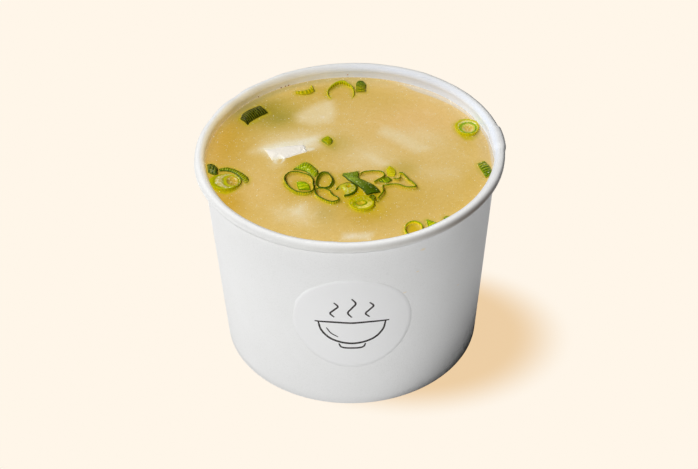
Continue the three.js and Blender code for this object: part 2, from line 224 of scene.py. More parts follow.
def close_up(bm):
    """Joins the points that lie together, closes what is open and turns the faces outwards."""
    bmesh.ops.remove_doubles(bm, verts=bm.verts, dist=1e-4)
    rims = [e for e in bm.edges if len(e.link_faces) == 1]
    if rims:
        bmesh.ops.holes_fill(bm, edges=rims, sides=0)
    bmesh.ops.recalc_face_normals(bm, faces=bm.faces)


def spun(profile, columns, loop=False):
    """A profile of (radius, height) points turned about the cup's axis."""
    bm = bmesh.new()
    chain = [bm.verts.new((r, 0, z)) for r, z in profile]
    edges = [bm.edges.new(pair) for pair in zip(chain, chain[1:])]
    if loop:
        edges.append(bm.edges.new((chain[-1], chain[0])))
    bmesh.ops.spin(
        bm, geom=chain + edges, cent=(0, 0, 0), axis=(0, 0, 1), angle=FULL_TURN, steps=columns,
        use_merge=True,
    )
    close_up(bm)
    return bm


def flat_sheet(steps, across):
    """A flat grid, and for each of its points the step along it and the share across it."""
    bm = bmesh.new()
    bmesh.ops.create_grid(bm, x_segments=steps, y_segments=across, size=1)
    return bm, [(round((v.co.x + 1) / 2 * steps), (v.co.y + 1) / 2) for v in bm.verts]


def second_side(bm):
    """Gives a sheet a second side in the same place and returns the points of one of the two."""
    made = bmesh.ops.extrude_face_region(bm, geom=bm.faces[:])
    return [v for v in made["geom"] if isinstance(v, bmesh.types.BMVert)]


def new_layers(bm, *names):
    """Layers of one number for each point, which materials read by name."""
    return [bm.verts.layers.float.new(name) for name in names]


def waver(x, y, pitch, seed):
    """A smooth unevenness from about -1 to 1, finer where pitch is larger."""
    return noise.noise(Vector((x * pitch, y * pitch, seed)))


def mark(v, layers, *values):
    """Writes a point's values into layers."""
    for layer, value in zip(layers, values):
        v[layer] = value


def sunk_by(x, y, sinks):
    """How deep the places where a leaf goes under pull it down at a point."""
    return sum(depth * (1 - smooth(math.dist((x, y), spot), 0, reach)) for spot, reach, depth in sinks)


# ---- Shader helpers ----


class Nodes:
    """A shader node tree, with short ways to add the nodes used here."""

    def __init__(self, tree):
        self.tree = tree

    def link(self, source, socket):
        self.tree.links.new(source, socket)

    def add(self, kind, inputs=None, **settings):
        made = self.tree.nodes.new("ShaderNode" + kind)
        for key, value in settings.items():
            setattr(made, key, value)
        for key, value in (inputs or {}).items():
            if isinstance(value, bpy.types.NodeSocket):
                self.link(value, made.inputs[key])
            else:
                made.inputs[key].default_value = value
        return made

    def use(self, tree, inputs=None):
        """Places a node group and returns its outputs."""
        return self.add("Group", inputs, node_tree=tree).outputs

    def place(self):
        return self.add("TexCoord").outputs["Object"]

    def attribute(self, name, output="Fac"):
        return self.add("Attribute", attribute_name=name).outputs[output]

    def oval(self, centre, reach):
        """Distance from an oval's centre, 1 at its edge. Both are in mm."""
        middle = [c * MM for c in centre]
        shares = [1 / (size * MM) if size else 0 for size in reach]
        away = self.add("VectorMath", {0: self.place(), 1: middle}, operation="SUBTRACT")
        scaled = self.add("VectorMath", {0: away.outputs[0], 1: shares}, operation="MULTIPLY")
        return self.add("VectorMath", {0: scaled.outputs[0]}, operation="LENGTH").outputs["Value"]

    def calc(self, operation, a, b=0.0, clamp=False):
        return self.add("Math", {0: a, 1: b}, operation=operation, use_clamp=clamp).outputs[0]

    def plus(self, a, b):
        return self.calc("ADD", a, b)

    def minus(self, a, b):
        return self.calc("SUBTRACT", a, b)

    def times(self, a, b):
        return self.calc("MULTIPLY", a, b)

    def ramp(self, value, low, high, to_low=0.0, to_high=1.0):
        inputs = {"Value": value, "From Min": low, "From Max": high, "To Min": to_low, "To Max": to_high}
        return self.add("MapRange", inputs, interpolation_type="SMOOTHSTEP").outputs["Result"]

    def blend(self, a, b, share, mode="MIX"):
        return self.add("Mix", {0: share, 6: a, 7: b}, data_type="RGBA", blend_type=mode).outputs[2]

    def grain(self, millimetres, vector=None, detail=2.0, rough=0.5, stretch=None, distortion=0.0):
        """Noise whose features are about so many millimetres across, from 0 to 1."""
        vector = vector or self.place()
        if stretch:
            vector = self.add("Mapping", {"Vector": vector, "Scale": stretch}).outputs["Vector"]
        inputs = {
            "Vector": vector, "Scale": 1 / (millimetres * MM), "Detail": detail,
            "Roughness": rough, "Distortion": distortion,
        }
        return self.add("TexNoise", inputs).outputs["Fac"]

    def height(self):
        """Height above the foot, in millimetres."""
        return self.times(self.add("SeparateXYZ", {0: self.place()}).outputs["Z"], 1 / MM)

    def dress(self, sockets, tone, rough=None, relief=None):
        """Gives a shader its colour, its roughness as a mask with a ramp over it, and its relief
        as a height with a strength and a depth in mm."""
        self.link(tone, sockets["Base Color"])
        if rough:
            self.link(self.ramp(*rough), sockets["Roughness"])
        if relief:
            height, strength, depth = relief
            made = self.add("Bump", {"Height": height, "Strength": strength, "Distance": depth * MM})
            self.link(made.outputs["Normal"], sockets["Normal"])


def group(name, inputs, outputs):
    """A new shader node group. Inputs are (name, kind, value), outputs (name, kind)."""
    tree = bpy.data.node_groups.new(name, "ShaderNodeTree")
    for label, kind, value in inputs:
        socket = tree.interface.new_socket(label, in_out="INPUT", socket_type="NodeSocket" + kind)
        socket.default_value = value
    for label, kind in outputs:
        tree.interface.new_socket(label, in_out="OUTPUT", socket_type="NodeSocket" + kind)
    nodes = Nodes(tree)
    entry = tree.nodes.new("NodeGroupInput")
    leave = tree.nodes.new("NodeGroupOutput")
    return tree, nodes, entry.outputs, leave.inputs


finishes = {}


def material(name, **shader):
    """A material with a Principled shader, whose plain numbers are given by socket name."""
    made = finishes[name] = bpy.data.materials.new(name)
    made.use_nodes = True
    principled = next(n for n in made.node_tree.nodes if n.type == "BSDF_PRINCIPLED")
    for key, value in shader.items():
        principled.inputs[key.replace("_", " ")].default_value = value
    return Nodes(made.node_tree), principled.inputs


# ---- Shared effects ----


def fibre_group():
    """Matted paper fibres: a fine height and a faint cloudiness."""
    tree, nodes, _, leave = group(
        "paper_fibres", [], [("Height", "Float"), ("Cloud", "Float"), ("Fleck", "Float")]
    )
    fibres = nodes.grain(0.5, detail=4.0, rough=0.6, stretch=(1, 1, 0.6))
    sheet = nodes.grain(3.5, detail=2.0)
    nodes.link(nodes.plus(fibres, nodes.times(sheet, 1.5)), leave["Height"])
    nodes.link(nodes.grain(9, detail=3.0), leave["Cloud"])
    nodes.link(nodes.ramp(nodes.grain(0.5, detail=1.0), 0.45, 0.75, 0.0, 0.5), leave["Fleck"])
    return tree


def haze_group():
    """What lies under the soup's level fades into the soup's colour."""
    tree, nodes, entry, leave = group(
        "under_soup",
        [
            ("Color", "Color", (0, 0, 0, 1)), ("Soup", "Color", (0, 0, 0, 1)),
            ("Start", "Float", 0.2), ("Fade", "Float", 0.6),
        ],
        [("Color", "Color")],
    )
    depth = nodes.minus(nodes.plus(entry["Start"], SOUP_LEVEL), nodes.height())
    wobble = nodes.times(nodes.minus(nodes.grain(1.3), 0.5), 0.3)
    sunk = nodes.calc("DIVIDE", nodes.plus(depth, wobble), entry["Fade"], clamp=True)
    nodes.link(nodes.blend(entry["Color"], entry["Soup"], sunk), leave["Color"])
    return tree


def leaf_group():
    """Scallion leaf: ribs across it, a darker cut edge, one tone running into another, and painted
    glints of highlight.
    """
    tones = [(name, "Color", (0, 0, 0, 1)) for name in ("Edge", "Flesh", "Tail", "Rib", "Glint")]
    tree, nodes, entry, leave = group(
        "leaf_ribs",
        tones + [("Cut", "Float", 0.2), ("Pitch", "Float", 0.75)],
        [("Color", "Color"), ("Height", "Float")],
    )
    turns = nodes.calc("DIVIDE", nodes.times(nodes.attribute("along"), FULL_TURN), entry["Pitch"])
    jitter = nodes.times(nodes.grain(1.2), 4.5)
    ribs = nodes.ramp(nodes.calc("SINE", nodes.plus(turns, jitter)), -0.5, 0.6)
    streak = nodes.grain(0.8, detail=3.0, rough=0.6)
    body = nodes.blend(entry["Flesh"], entry["Tail"], nodes.ramp(nodes.attribute("run"), 0.15, 0.85))
    share = nodes.times(ribs, nodes.ramp(streak, 0.25, 0.5, 0.35, 1.0))
    body = nodes.blend(body, entry["Rib"], share)
    # Painted glints: small specks of painted highlight.
    glint = nodes.ramp(nodes.grain(0.6, detail=1.0), 0.62, 0.74)
    body = nodes.blend(body, entry["Glint"], nodes.times(glint, 0.7))
    ragged = nodes.plus(nodes.attribute("fall"), nodes.times(nodes.minus(streak, 0.5), 0.2))
    inner, outer = nodes.times(entry["Cut"], 1.5), nodes.times(entry["Cut"], 0.7)
    nodes.link(nodes.blend(entry["Edge"], body, nodes.ramp(ragged, outer, inner)), leave["Color"])
    nodes.link(nodes.plus(ribs, streak), leave["Height"])
    return tree


fibres = fibre_group()
under_soup = haze_group()
leaf_ribs = leaf_group()

# ---- Finishes ----

# Colours of the cup's paper: its outside; its rim, painted a little lighter, a painted highlight;
# and inside, a painted shade and a soak of soup that also stands in for the soup's warm reflected
# light. Then a painted glow, an emission that stands in for the light coming through the paper,
# warm on the left and cool on the right.
PAPER = (0.885, 0.885, 0.88)
PAPER_RIM_LIGHTER = (0.94, 0.94, 0.93)
LINING_SHADE = (0.71, 0.745, 0.83)
LINING_SOAK_AND_SOUP_LIGHT = (0.9, 0.76, 0.47)
WARM_GLOW = (0.32, 0.245, 0.11)
COOL_GLOW = (0.045, 0.085, 0.15)

# How much of each of these the inside of the wall has, by angle in degrees.
LINING = {
    "shade": [
        (0, 0.55), (30, 0.5), (50, 0.95), (70, 0.95), (90, 0.6), (110, 0.35), (130, 0.2), (150, 0),
        (200, 0),
    ],
    "soak_and_soup_light": [(90, 0), (110, 0.2), (130, 0.5), (150, 0.78), (170, 0.7), (180, 0.5), (190, 0.15), (240, 0)],
    "warm": [
        (90, 0), (105, 0.08), (120, 0.16), (130, 0.28), (145, 0.5), (160, 0.68), (170, 0.64), (180, 0.76),
        (190, 1.0), (200, 0.6), (240, 0.2), (300, 0),
    ],
    "cool": [(-20, 0), (0, 0.8), (10, 1), (20, 1), (30, 0.7), (40, 0.35), (50, 0)],
}

# Painted shades and painted glows on the rolled rim: tone, middle and half size in degrees round
# the cup and round the roll (0 outwards, 90 on top, 180 inwards), and strength.
DUSK = (0.36, 0.3, 0.17)
BROWN_SHADE = (0.2, 0.14, 0.1)
GREY_SHADE = (0.4, 0.4, 0.4)
RIM_SHADES = [
    (BROWN_SHADE, (-38, 8), (19, 24), 0.86),
    (BROWN_SHADE, (-43, 29), (30, 31), 0.56),
    (DUSK, (-80, 15), (32, 36), 0.2),
    (GREY_SHADE, (-128, 42), (52, 32), 0.42),
    (GREY_SHADE, (28, 132), (50, 30), 0.25),
]
RIM_GLOWS = [
    ((0.2, 0.185, 0.15), (-175, 132), (42, 28), 1.0),
    ((0.24, 0.24, 0.24), (-9, 57), (23, 20), 1.0),
    ((0.16, 0.16, 0.16), (-62, 78), (50, 34), 1.0),
]

# Tones of the soup by name; shade and bark are painted shades, wall a painted reflection.
BROTH = {
    "broth": (219, 186, 110), "ochre": (197, 160, 44), "olive": (175, 155, 50), "murk": (152, 142, 60),
    "tan": (206, 171, 74), "peach": (227, 189, 120), "straw": (224, 195, 128), "cream": (231, 211, 162),
    "curd": (237, 226, 198), "leafy": (190, 172, 0), "amber": (204, 172, 34), "wall": (199, 190, 172),
    "line": (190, 168, 128), "shade": (158, 146, 92), "clay": (200, 159, 62), "rust": (199, 157, 44),
    "gold": (202, 170, 0), "fern": (112, 124, 8), "dusk": (207, 179, 122), "bark": (116, 102, 30),
}

# Dried splashes on the outside of the cup: place in mm, and size in mm.
SPLASHES = [
    ((13.7, -44.1, 67.0), (1.5, 1.5, 0.5)),
    ((21.6, -40.6, 63.0), (1.2, 1.2, 0.7)),
    ((20.0, -40.6, 54.5), (0.8, 0.8, 0.5)),
    ((16.2, -42.0, 47.2), (1.0, 1.0, 0.5)),
    ((1.2, -45.0, 48.8), (1.2, 1.2, 0.4)),
    ((33.6, -29.4, 39.0), (0.7, 0.7, 0.3)),
]


def paper_finish():
    """White paper board with a satin coat, soaked warm inside, above the soup. Its tone holds painted
    shades and its emission a painted glow.
    """
    nodes, sockets = material("cup_paper", Roughness=0.55, Emission_Strength=1.0)
    sheet = nodes.use(fibres)
    white = nodes.attribute("tone", "Color")
    white = nodes.blend(white, (0.965, 0.965, 0.955, 1), sheet["Cloud"], "MULTIPLY")
    white = nodes.blend(white, (0.93, 0.93, 0.925, 1), sheet["Fleck"], "MULTIPLY")
    marks = 0.0
    for centre, size in SPLASHES:
        ragged = nodes.plus(nodes.oval(centre, size), nodes.grain(0.8, detail=3.0))
        marks = nodes.calc("MAXIMUM", marks, nodes.ramp(ragged, 1.45, 0.75))
    white = nodes.blend(white, pigment(232, 205, 140), nodes.times(marks, 0.4))
    nodes.dress(sockets, white, (sheet["Cloud"], 0.2, 0.8, 0.5, 0.6), (sheet["Height"], 0.6, 0.07))
    nodes.link(nodes.attribute("glow", "Color"), sockets["Emission Color"])


def label_finish():
    """A clear film label: nearly the paper's white, with a faint, patchy painted shade along its edge."""
    nodes, sockets = material("label_film", Roughness=0.42)
    sheet = nodes.use(fibres)
    film = nodes.blend((0.89, 0.89, 0.888, 1), (0.87, 0.87, 0.865, 1), sheet["Cloud"])
    edge = nodes.ramp(nodes.attribute("fall"), 0.5, 0.1)
    edge = nodes.times(edge, nodes.ramp(nodes.grain(6), 0.3, 0.7, 0.0, 0.3))
    film = nodes.blend(film, pigment(196, 194, 190), edge)
    nodes.dress(sockets, film, (sheet["Cloud"], 0.2, 0.8, 0.36, 0.46), (sheet["Height"], 0.12, 0.04))


def ink_finish():
    """Dark charcoal ink, a little thin in places."""
    nodes, sockets = material("label_ink", Roughness=0.5)
    ink = nodes.blend(pigment(34, 28, 26), pigment(62, 55, 52), nodes.ramp(nodes.grain(0.7), 0.45, 0.75))
    nodes.dress(sockets, ink, (nodes.grain(0.7), 0.3, 0.7, 0.45, 0.6))


def broth_finish():
    """Cloudy miso broth: its tone is painted on, with fine white specks and wisps over it."""
    nodes, sockets = material("miso_broth", Roughness=0.3, Specular_IOR_Level=0.16)
    tone = nodes.attribute("tone", "Color")
    wisp = nodes.grain(6, detail=5.0, rough=0.6, distortion=1.6)
    fine = nodes.grain(0.45, detail=2.0)
    for tint, mask in (
        ((1.21, 1.4, 2.4, 1), (wisp, 0.56, 0.8, 0.0, 0.3)),
        ((0.82, 0.74, 0.4, 1), (wisp, 0.44, 0.2, 0.0, 0.22)),
        ((1.3, 1.6, 3.0, 1), (fine, 0.55, 0.8, 0.0, 0.28)),
        ((0.63, 0.55, 0.27, 1), (fine, 0.45, 0.2, 0.0, 0.28)),
    ):
        tone = nodes.blend(tone, tint, nodes.ramp(*mask), "MULTIPLY")
    for cell, biggest, strength in ((0.65, 0.2, 0.85), (1.5, 0.12, 0.9)):
        scatter = {"Vector": nodes.place(), "Scale": 1 / (cell * MM), "Randomness": 1.0}
        dots = nodes.add("TexVoronoi", scatter, feature="F1")
        size = nodes.add("SeparateXYZ", {0: dots.outputs["Color"]}).outputs["X"]
        reach = nodes.ramp(size, 0.3, 1.0, 0.0, biggest)
        speck = nodes.calc("GREATER_THAN", reach, dots.outputs["Distance"])
        tone = nodes.blend(tone, pigment(247, 236, 208), nodes.times(speck, strength))
    nodes.dress(sockets, tone, (wisp, 0.4, 0.8, 0.26, 0.36), (nodes.grain(7, detail=1.0), 0.1, 0.5))


def curd_finish():
    """Soft tofu: cream white, finely pitted, with soup soaked into its lower parts and a faint warm
    painted glow.
    """
    # The warm emission is a painted glow.
    nodes, sockets = material(
        "silken_tofu", Specular_IOR_Level=0.15, Emission_Color=(1.0, 0.86, 0.62, 1), Emission_Strength=0.05
    )
    pits, lumps = nodes.grain(0.6, detail=4.0, rough=0.65), nodes.grain(3.0, detail=2.0)
    curd = nodes.blend((0.95, 0.9, 0.81, 1), (0.92, 0.85, 0.73, 1), nodes.ramp(pits, 0.5, 0.8))
    curd = nodes.blend(curd, (0.92, 0.85, 0.72, 1), nodes.ramp(lumps, 0.5, 0.8, 0.0, 0.4))
    veil = {"Color": curd, "Soup": pigment(*BROTH["curd"]), "Start": 0.12, "Fade": 0.12}
    soaked = nodes.use(under_soup, veil)["Color"]
    nodes.dress(sockets, soaked, (pits, 0.3, 0.7, 0.45, 0.6), (nodes.plus(pits, lumps), 0.3, 0.12))


INNER_VEIL = 0.55  # how much sooner the soup veils the veiled side of a standing leaf, in mm


def leaf_finish(
    name, edge, flesh, rib, tail=None, glint=(214, 222, 150), soup=(182, 158, 56), cut=0.2, fade=0.5,
    start=0.3, pitch=0.75, glow=0.0,
):
    """Scallion leaf with its own greens and painted glints, wet, and fading into the soup below its
    level. Glow is painted light: an emission of its own colour that stands in for the light that
    comes through it."""
    nodes, sockets = material(name, Roughness=0.32, Specular_IOR_Level=0.14, Emission_Strength=glow)
    tones = {"Edge": edge, "Flesh": flesh, "Tail": tail or flesh, "Rib": rib, "Glint": glint}
    inputs = {label: pigment(*tone) for label, tone in tones.items()}
    leaf = nodes.use(leaf_ribs, {**inputs, "Cut": cut, "Pitch": pitch})
    start = nodes.plus(start, nodes.times(nodes.attribute("veil"), INNER_VEIL))
    veil = {"Color": leaf["Color"], "Soup": pigment(*soup), "Start": start, "Fade": fade}
    wet = nodes.use(under_soup, veil)["Color"]
    nodes.dress(sockets, wet, (nodes.grain(0.9), 0.3, 0.7, 0.24, 0.46), (leaf["Height"], 0.3, 0.08))
    nodes.link(wet, sockets["Emission Color"])


def stem_finish(name, skin, flesh, cream, ring, inside, core, side, start=0.1, fibres=0.3):
    """A cut stem: skin, flesh that pales to one side, an inner ring and what is in it."""
    nodes, sockets = material(name, Roughness=0.3, Specular_IOR_Level=0.15)
    share, around = nodes.attribute("share"), nodes.attribute("along")
    spread = nodes.add("CombineXYZ", {0: nodes.times(around, MM), 1: nodes.times(share, MM)})
    fibre = nodes.grain(0.7, spread.outputs[0], detail=3.0, rough=0.6)
    fine = nodes.grain(0.7, detail=3.0, rough=0.6)
    streaks = nodes.grain(0.55, detail=2.0, rough=0.6, stretch=(1, 0.55, 1), distortion=0.6)
    white = nodes.calc("MAXIMUM", nodes.ramp(fibre, 0.54, 0.68), nodes.ramp(streaks, 0.52, 0.64))
    place = nodes.plus(share, nodes.times(nodes.minus(fine, 0.5), 0.14))
    inner = nodes.minus(place, nodes.attribute("ring"))
    tone = nodes.blend(pigment(*core), pigment(*inside), nodes.ramp(inner, -0.34, -0.2))
    tone = nodes.blend(tone, pigment(244, 242, 206), nodes.times(white, 0.6 * fibres))
    tone = nodes.blend(tone, pigment(*ring), nodes.ramp(inner, -0.12, -0.03))
    pulp = nodes.blend(pigment(*flesh), pigment(*cream), nodes.attribute("pale"))
    pulp = nodes.blend(pulp, pigment(244, 240, 200), nodes.times(white, fibres))
    tone = nodes.blend(tone, pulp, nodes.ramp(inner, 0.05, 0.14))
    tone = nodes.blend(tone, pigment(*skin), nodes.ramp(place, 0.78, 0.86))
    tone = nodes.blend(tone, pigment(*skin), nodes.ramp(fibre, 0.44, 0.3, 0.0, 0.45))
    ticks = nodes.ramp(nodes.calc("SINE", nodes.times(around, FULL_TURN / 1.1)), 0.1, 0.9)
    rind = nodes.blend(pigment(*side), pigment(*skin), nodes.ramp(fibre, 0.4, 0.6))
    rind = nodes.blend(rind, pigment(128, 134, 20), nodes.times(ticks, 0.5))
    tone = nodes.blend(tone, rind, nodes.ramp(nodes.attribute("fall"), 0.12, 0.3))
    veil = {"Color": tone, "Soup": pigment(200, 176, 50), "Start": start, "Fade": 0.75}
    wet = nodes.use(under_soup, veil)["Color"]
    nodes.dress(sockets, wet, (fine, 0.3, 0.7, 0.22, 0.4), (fibre, 0.4, 0.1))


def speck_finish():
    """Specks of dried miso and sesame-brown bits."""
    nodes, sockets = material("brown_specks", Roughness=0.6)
    tone = nodes.blend(pigment(170, 120, 70), pigment(112, 66, 38), nodes.ramp(nodes.grain(1.2), 0.4, 0.6))
    nodes.dress(sockets, tone, relief=(nodes.grain(0.1), 0.3, 0.03))


paper_finish()
label_finish()
ink_finish()
broth_finish()
curd_finish()
speck_finish()
leaf_finish(
    "ring_green", (66, 92, 0), (182, 172, 14), (136, 140, 4), glint=(206, 204, 100), start=0.12, fade=0.45,
    glow=0.1,
)
leaf_finish(
    "ring_murky", (66, 86, 0), (128, 132, 4), (94, 104, 0), glint=(150, 156, 50), start=0.0, fade=0.7,
    glow=0.1,
)
leaf_finish(
    "ring_lime", (126, 144, 0), (196, 178, 10), (166, 162, 4), glint=(210, 202, 70), soup=(202, 178, 10),
    cut=0.3, start=-0.1, fade=0.6, glow=0.3,
)
leaf_finish(
    "ring_olive", (156, 156, 0), (182, 170, 0), (112, 120, 0), glint=(200, 190, 40), soup=(186, 164, 10),
    cut=0.1, start=0.4, fade=1.0, pitch=1.0, glow=0.15,
)
leaf_finish(
    "strand_green", (96, 116, 0), (180, 168, 6), (144, 144, 0), glint=(200, 194, 80), start=0.15, fade=0.5,
    glow=0.12,
)
leaf_finish(
    "dark_leaf", (62, 66, 0), (92, 92, 10), (8, 14, 0), glint=(122, 136, 50), soup=(120, 108, 6),
    start=0.2, pitch=0.86,
)
leaf_finish(
    "barrel_leaf", (70, 88, 6), (106, 110, 26), (42, 66, 6), glint=(144, 156, 100), soup=(160, 146, 28),
    pitch=1.3,
)
# The ribbon's flesh pales towards its upper left end, partly painted sheen.
leaf_finish(
    "ribbon_leaf", (52, 70, 0), (150, 168, 56), (72, 98, 4), tail=(64, 78, 0), glint=(204, 214, 150),
    soup=(150, 146, 20), pitch=0.62,
)
# The fold's pale grey-green is partly painted sheen.
leaf_finish(
    "ribbon_pale", (100, 120, 12), (152, 164, 66), (110, 130, 30), tail=(110, 126, 20),
    glint=(196, 206, 150), soup=(150, 146, 20),
)
leaf_finish(
    "green_leaf", (92, 114, 0), (164, 176, 6), (104, 124, 0), tail=(132, 144, 0), glint=(200, 206, 90),
    pitch=1.1,
)
leaf_finish(
    "back_leaf", (140, 142, 0), (182, 168, 0), (66, 88, 0), tail=(88, 110, 0), glint=(160, 170, 40), cut=0.1
)
leaf_finish(
    "strip_leaf", (60, 88, 0), (136, 146, 4), (76, 96, 0), tail=(162, 158, 2), glint=(196, 198, 90),
    pitch=0.9,
)
leaf_finish(
    "shiny_leaf", (118, 136, 0), (160, 164, 44), (62, 88, 0), tail=(104, 126, 0), glint=(226, 230, 180),
    pitch=1.2,
)
leaf_finish(
    "olive_leaf", (112, 128, 0), (168, 172, 0), (128, 140, 0), tail=(168, 158, 0), glint=(200, 204, 50)
)
leaf_finish(
    "lime_leaf", (100, 122, 0), (162, 180, 2), (124, 146, 0), tail=(164, 166, 0), glint=(214, 222, 110),
    pitch=1.15,
)
leaf_finish(
    "chip_leaf", (118, 144, 0), (160, 184, 0), (138, 162, 0), tail=(196, 194, 14), glint=(206, 214, 80),
    pitch=1.3,
)
leaf_finish(
    "pale_leaf", (176, 172, 0), (202, 190, 10), (182, 172, 0), tail=(204, 190, 24), glint=(220, 212, 80),
    cut=0.12, start=0.2,
)
leaf_finish(
    "rind_leaf", (176, 162, 0), (196, 176, 0), (142, 138, 0), glint=(208, 200, 40), cut=0.15, pitch=1.1
)
stem_finish(
    "stem_middle", skin=(180, 172, 0), flesh=(184, 170, 0), cream=(224, 208, 84), ring=(148, 156, 0),
    inside=(190, 168, 4), core=(192, 158, 10), side=(186, 174, 0), start=0.34, fibres=0.16,
)
stem_finish(
    "stem_left", skin=(164, 164, 0), flesh=(188, 180, 24), cream=(196, 178, 92), ring=(168, 166, 0),
    inside=(192, 158, 34), core=(192, 156, 40), side=(178, 160, 0), fibres=0.75,
)
stem_finish(
    "stem_right", skin=(186, 176, 0), flesh=(188, 180, 0), cream=(214, 202, 110), ring=(128, 160, 0),
    inside=(200, 186, 60), core=(204, 166, 50), side=(188, 176, 0), fibres=0.6,
)
stem_finish(
    "moon_flesh", skin=(70, 92, 0), flesh=(178, 172, 10), cream=(186, 178, 40), ring=(178, 168, 10),
    inside=(192, 158, 10), core=(196, 152, 0), side=(140, 148, 0), fibres=0.3,
)

# ---- Cup ----

WALL_COLUMNS = 280
BOTTOM_COLUMNS = 144
ROLL_STEPS = 26
WALL_ROWS = 22
FOOT_ROUND = 0.09  # the middle of a corner of the folded foot, in mm from both its sides
SEAM_CROWD = 0.14  # how strongly the columns crowd together at the seam
ON_FACE = 0.02  # how near in mm a point must be to a face of the wall to be on it
LINING_STARTS = (82, 138)  # degrees round the roll over which its lining begins
CREASED = (-1.6, 0.4)  # height over the roll's centre, in mm, over which its creases begin
BOTTOM_DISH = 0.25  # how deep the bottom is dished, in mm
BOTTOM_RINGS = 8

# Dents of the roll all round: how deep in mm, how fine, and which pattern of dents it is.
RIM_DENTS = [(0.10, 3, 4.0), (0.05, 11, 9.0)]

# Creases of the rolled rim: angle and half width in degrees, and how far it stands out in mm.
RIM_CREASES = [
    (148, 3.0, 0.16), (141, 2.2, -0.2), (134, 2.6, 0.14), (126, 3.2, -0.14), (117, 2.4, 0.1),
    (159, 3.5, -0.12), (171, 2.5, 0.1), (183, 2.2, -0.12), (197, 3.0, 0.08), (214, 3.0, -0.08),
    (263, 1.6, 0.14), (58, 3.0, 0.06), (74, 4.0, -0.06), (318, 4.0, -0.05),
]


def meets_roll(face):
    """The angle on the roll's circle at which a face of the wall runs into it from below."""
    away = (ROLL_CENTRE[0] - face(ROLL_CENTRE[1])) / math.hypot(1, WALL_SLOPE)
    return math.pi - math.atan(WALL_SLOPE) + math.acos(away / ROLL_RADIUS)


def wall_profile():
    """The wall's section, from the hem up its outside, round the roll and down its lining."""
    start = meets_roll(outer_wall)
    sweep = meets_roll(inner_wall) + FULL_TURN - start
    rolled = []
    for i in range(ROLL_STEPS + 1):
        angle = start + sweep * i / ROLL_STEPS
        rolled.append((
            ROLL_CENTRE[0] + ROLL_RADIUS * math.cos(angle),
            ROLL_CENTRE[1] + ROLL_RADIUS * math.sin(angle),
        ))
    neck, well = rolled[0][1], rolled[-1][1]
    outside = [mix(FOLD_CORNER, neck, i / WALL_ROWS) for i in range(WALL_ROWS)]
    inside = [mix(well, BOARD, i / WALL_ROWS) for i in range(1, WALL_ROWS + 1)]
    foot = [
        (fold_inner(HEM_HEIGHT), HEM_HEIGHT),
        (fold_inner(FOLD_CORNER), FOLD_CORNER),
        (fold_inner(0) + FOOT_ROUND, FOOT_ROUND),
        (fold_inner(0) + FOLD_CORNER, 0),
        (outer_wall(0) - FOLD_CORNER, 0),
        (outer_wall(0) - FOOT_ROUND, FOOT_ROUND),
    ]
    return (
        foot
        + [(outer_wall(z), z) for z in outside]
        + rolled
        + [(inner_wall(z), z) for z in inside]
        + [(fold_outer(BOARD), BOARD), (fold_outer(HEM_HEIGHT), HEM_HEIGHT)]
    )


def seam_proud(angle):
    """How far the wall stands proud at an angle, over the lap of its seam."""
    run = ((SEAM_ANGLE - angle) % FULL_TURN) * RIM_RADIUS
    rise = smooth(run, 0, SEAM_EDGE)
    fall = smooth(run, SEAM_WIDTH, SEAM_WIDTH + SEAM_FADE)
    return SEAM_STEP * float(rise * (1 - fall))


def rim_relief(angle):
    """How far the roll's dents and creases stand out at an angle, in mm."""
    x, y = math.cos(angle), math.sin(angle)
    total = sum(deep * waver(x, y, fine, seed) for deep, fine, seed in RIM_DENTS)
    for degrees, width, proud in RIM_CREASES:
        off = (math.degrees(angle) - degrees + 180) % 360 - 180
        total += proud * math.exp(-((off / width) ** 2))
    return total


def round_cup(knots, degrees):
    """A value given at some angles round the cup, read at others."""
    angles, values = zip(*knots)
    return np.interp(degrees, angles, values, period=360)


def rim_patches(patches, degrees, turn):
    """The tone and share of each soft patch on the roll. Off the roll, turn is far from all."""
    for tone, (at, at_turn), reach, strength in patches:
        off = (degrees - at + 180) % 360 - 180
        yield np.array(tone), strength * soft_patch(off, turn, (0, at_turn), reach)[:, None]


def paper_tones(degrees, turn, inside, off_z):
    """Base colour of the paper at points, given round the cup and round the roll in degrees. It holds
    the painted shades of the lining and rim and the rim's painted lighter top.
    """
    tone = mix(np.array(PAPER), np.array(PAPER_RIM_LIGHTER), smooth(off_z, -1, 0)[:, None])
    lining = mix(np.array(PAPER), np.array(LINING_SHADE), round_cup(LINING["shade"], degrees)[:, None])
    lining = mix(lining, np.array(LINING_SOAK_AND_SOUP_LIGHT), round_cup(LINING["soak_and_soup_light"], degrees)[:, None])
    tone = mix(tone, lining, inside[:, None])
    for shade, share in rim_patches(RIM_SHADES, degrees, turn):
        tone = mix(tone, shade, share)
    return tone


def paper_glows(degrees, turn, inside):
    """Painted light at points: a glow on the lining that stands in for light through the paper, and
    painted glows on the rim.
    """
    warm = (inside * round_cup(LINING["warm"], degrees))[:, None]
    cool = (inside * round_cup(LINING["cool"], degrees))[:, None]
    glow = warm * np.array(WARM_GLOW) + cool * np.array(COOL_GLOW)
    for light, share in rim_patches(RIM_GLOWS, degrees, turn):
        glow = glow + light * share
    return glow


def paint_points(bm, name, colours):
    """Paints a colour on each point of a shape, for its material."""
    layer = bm.verts.layers.float_color.new(name)
    for v, colour in zip(bm.verts, colours):
        v[layer] = (*colour, 1)


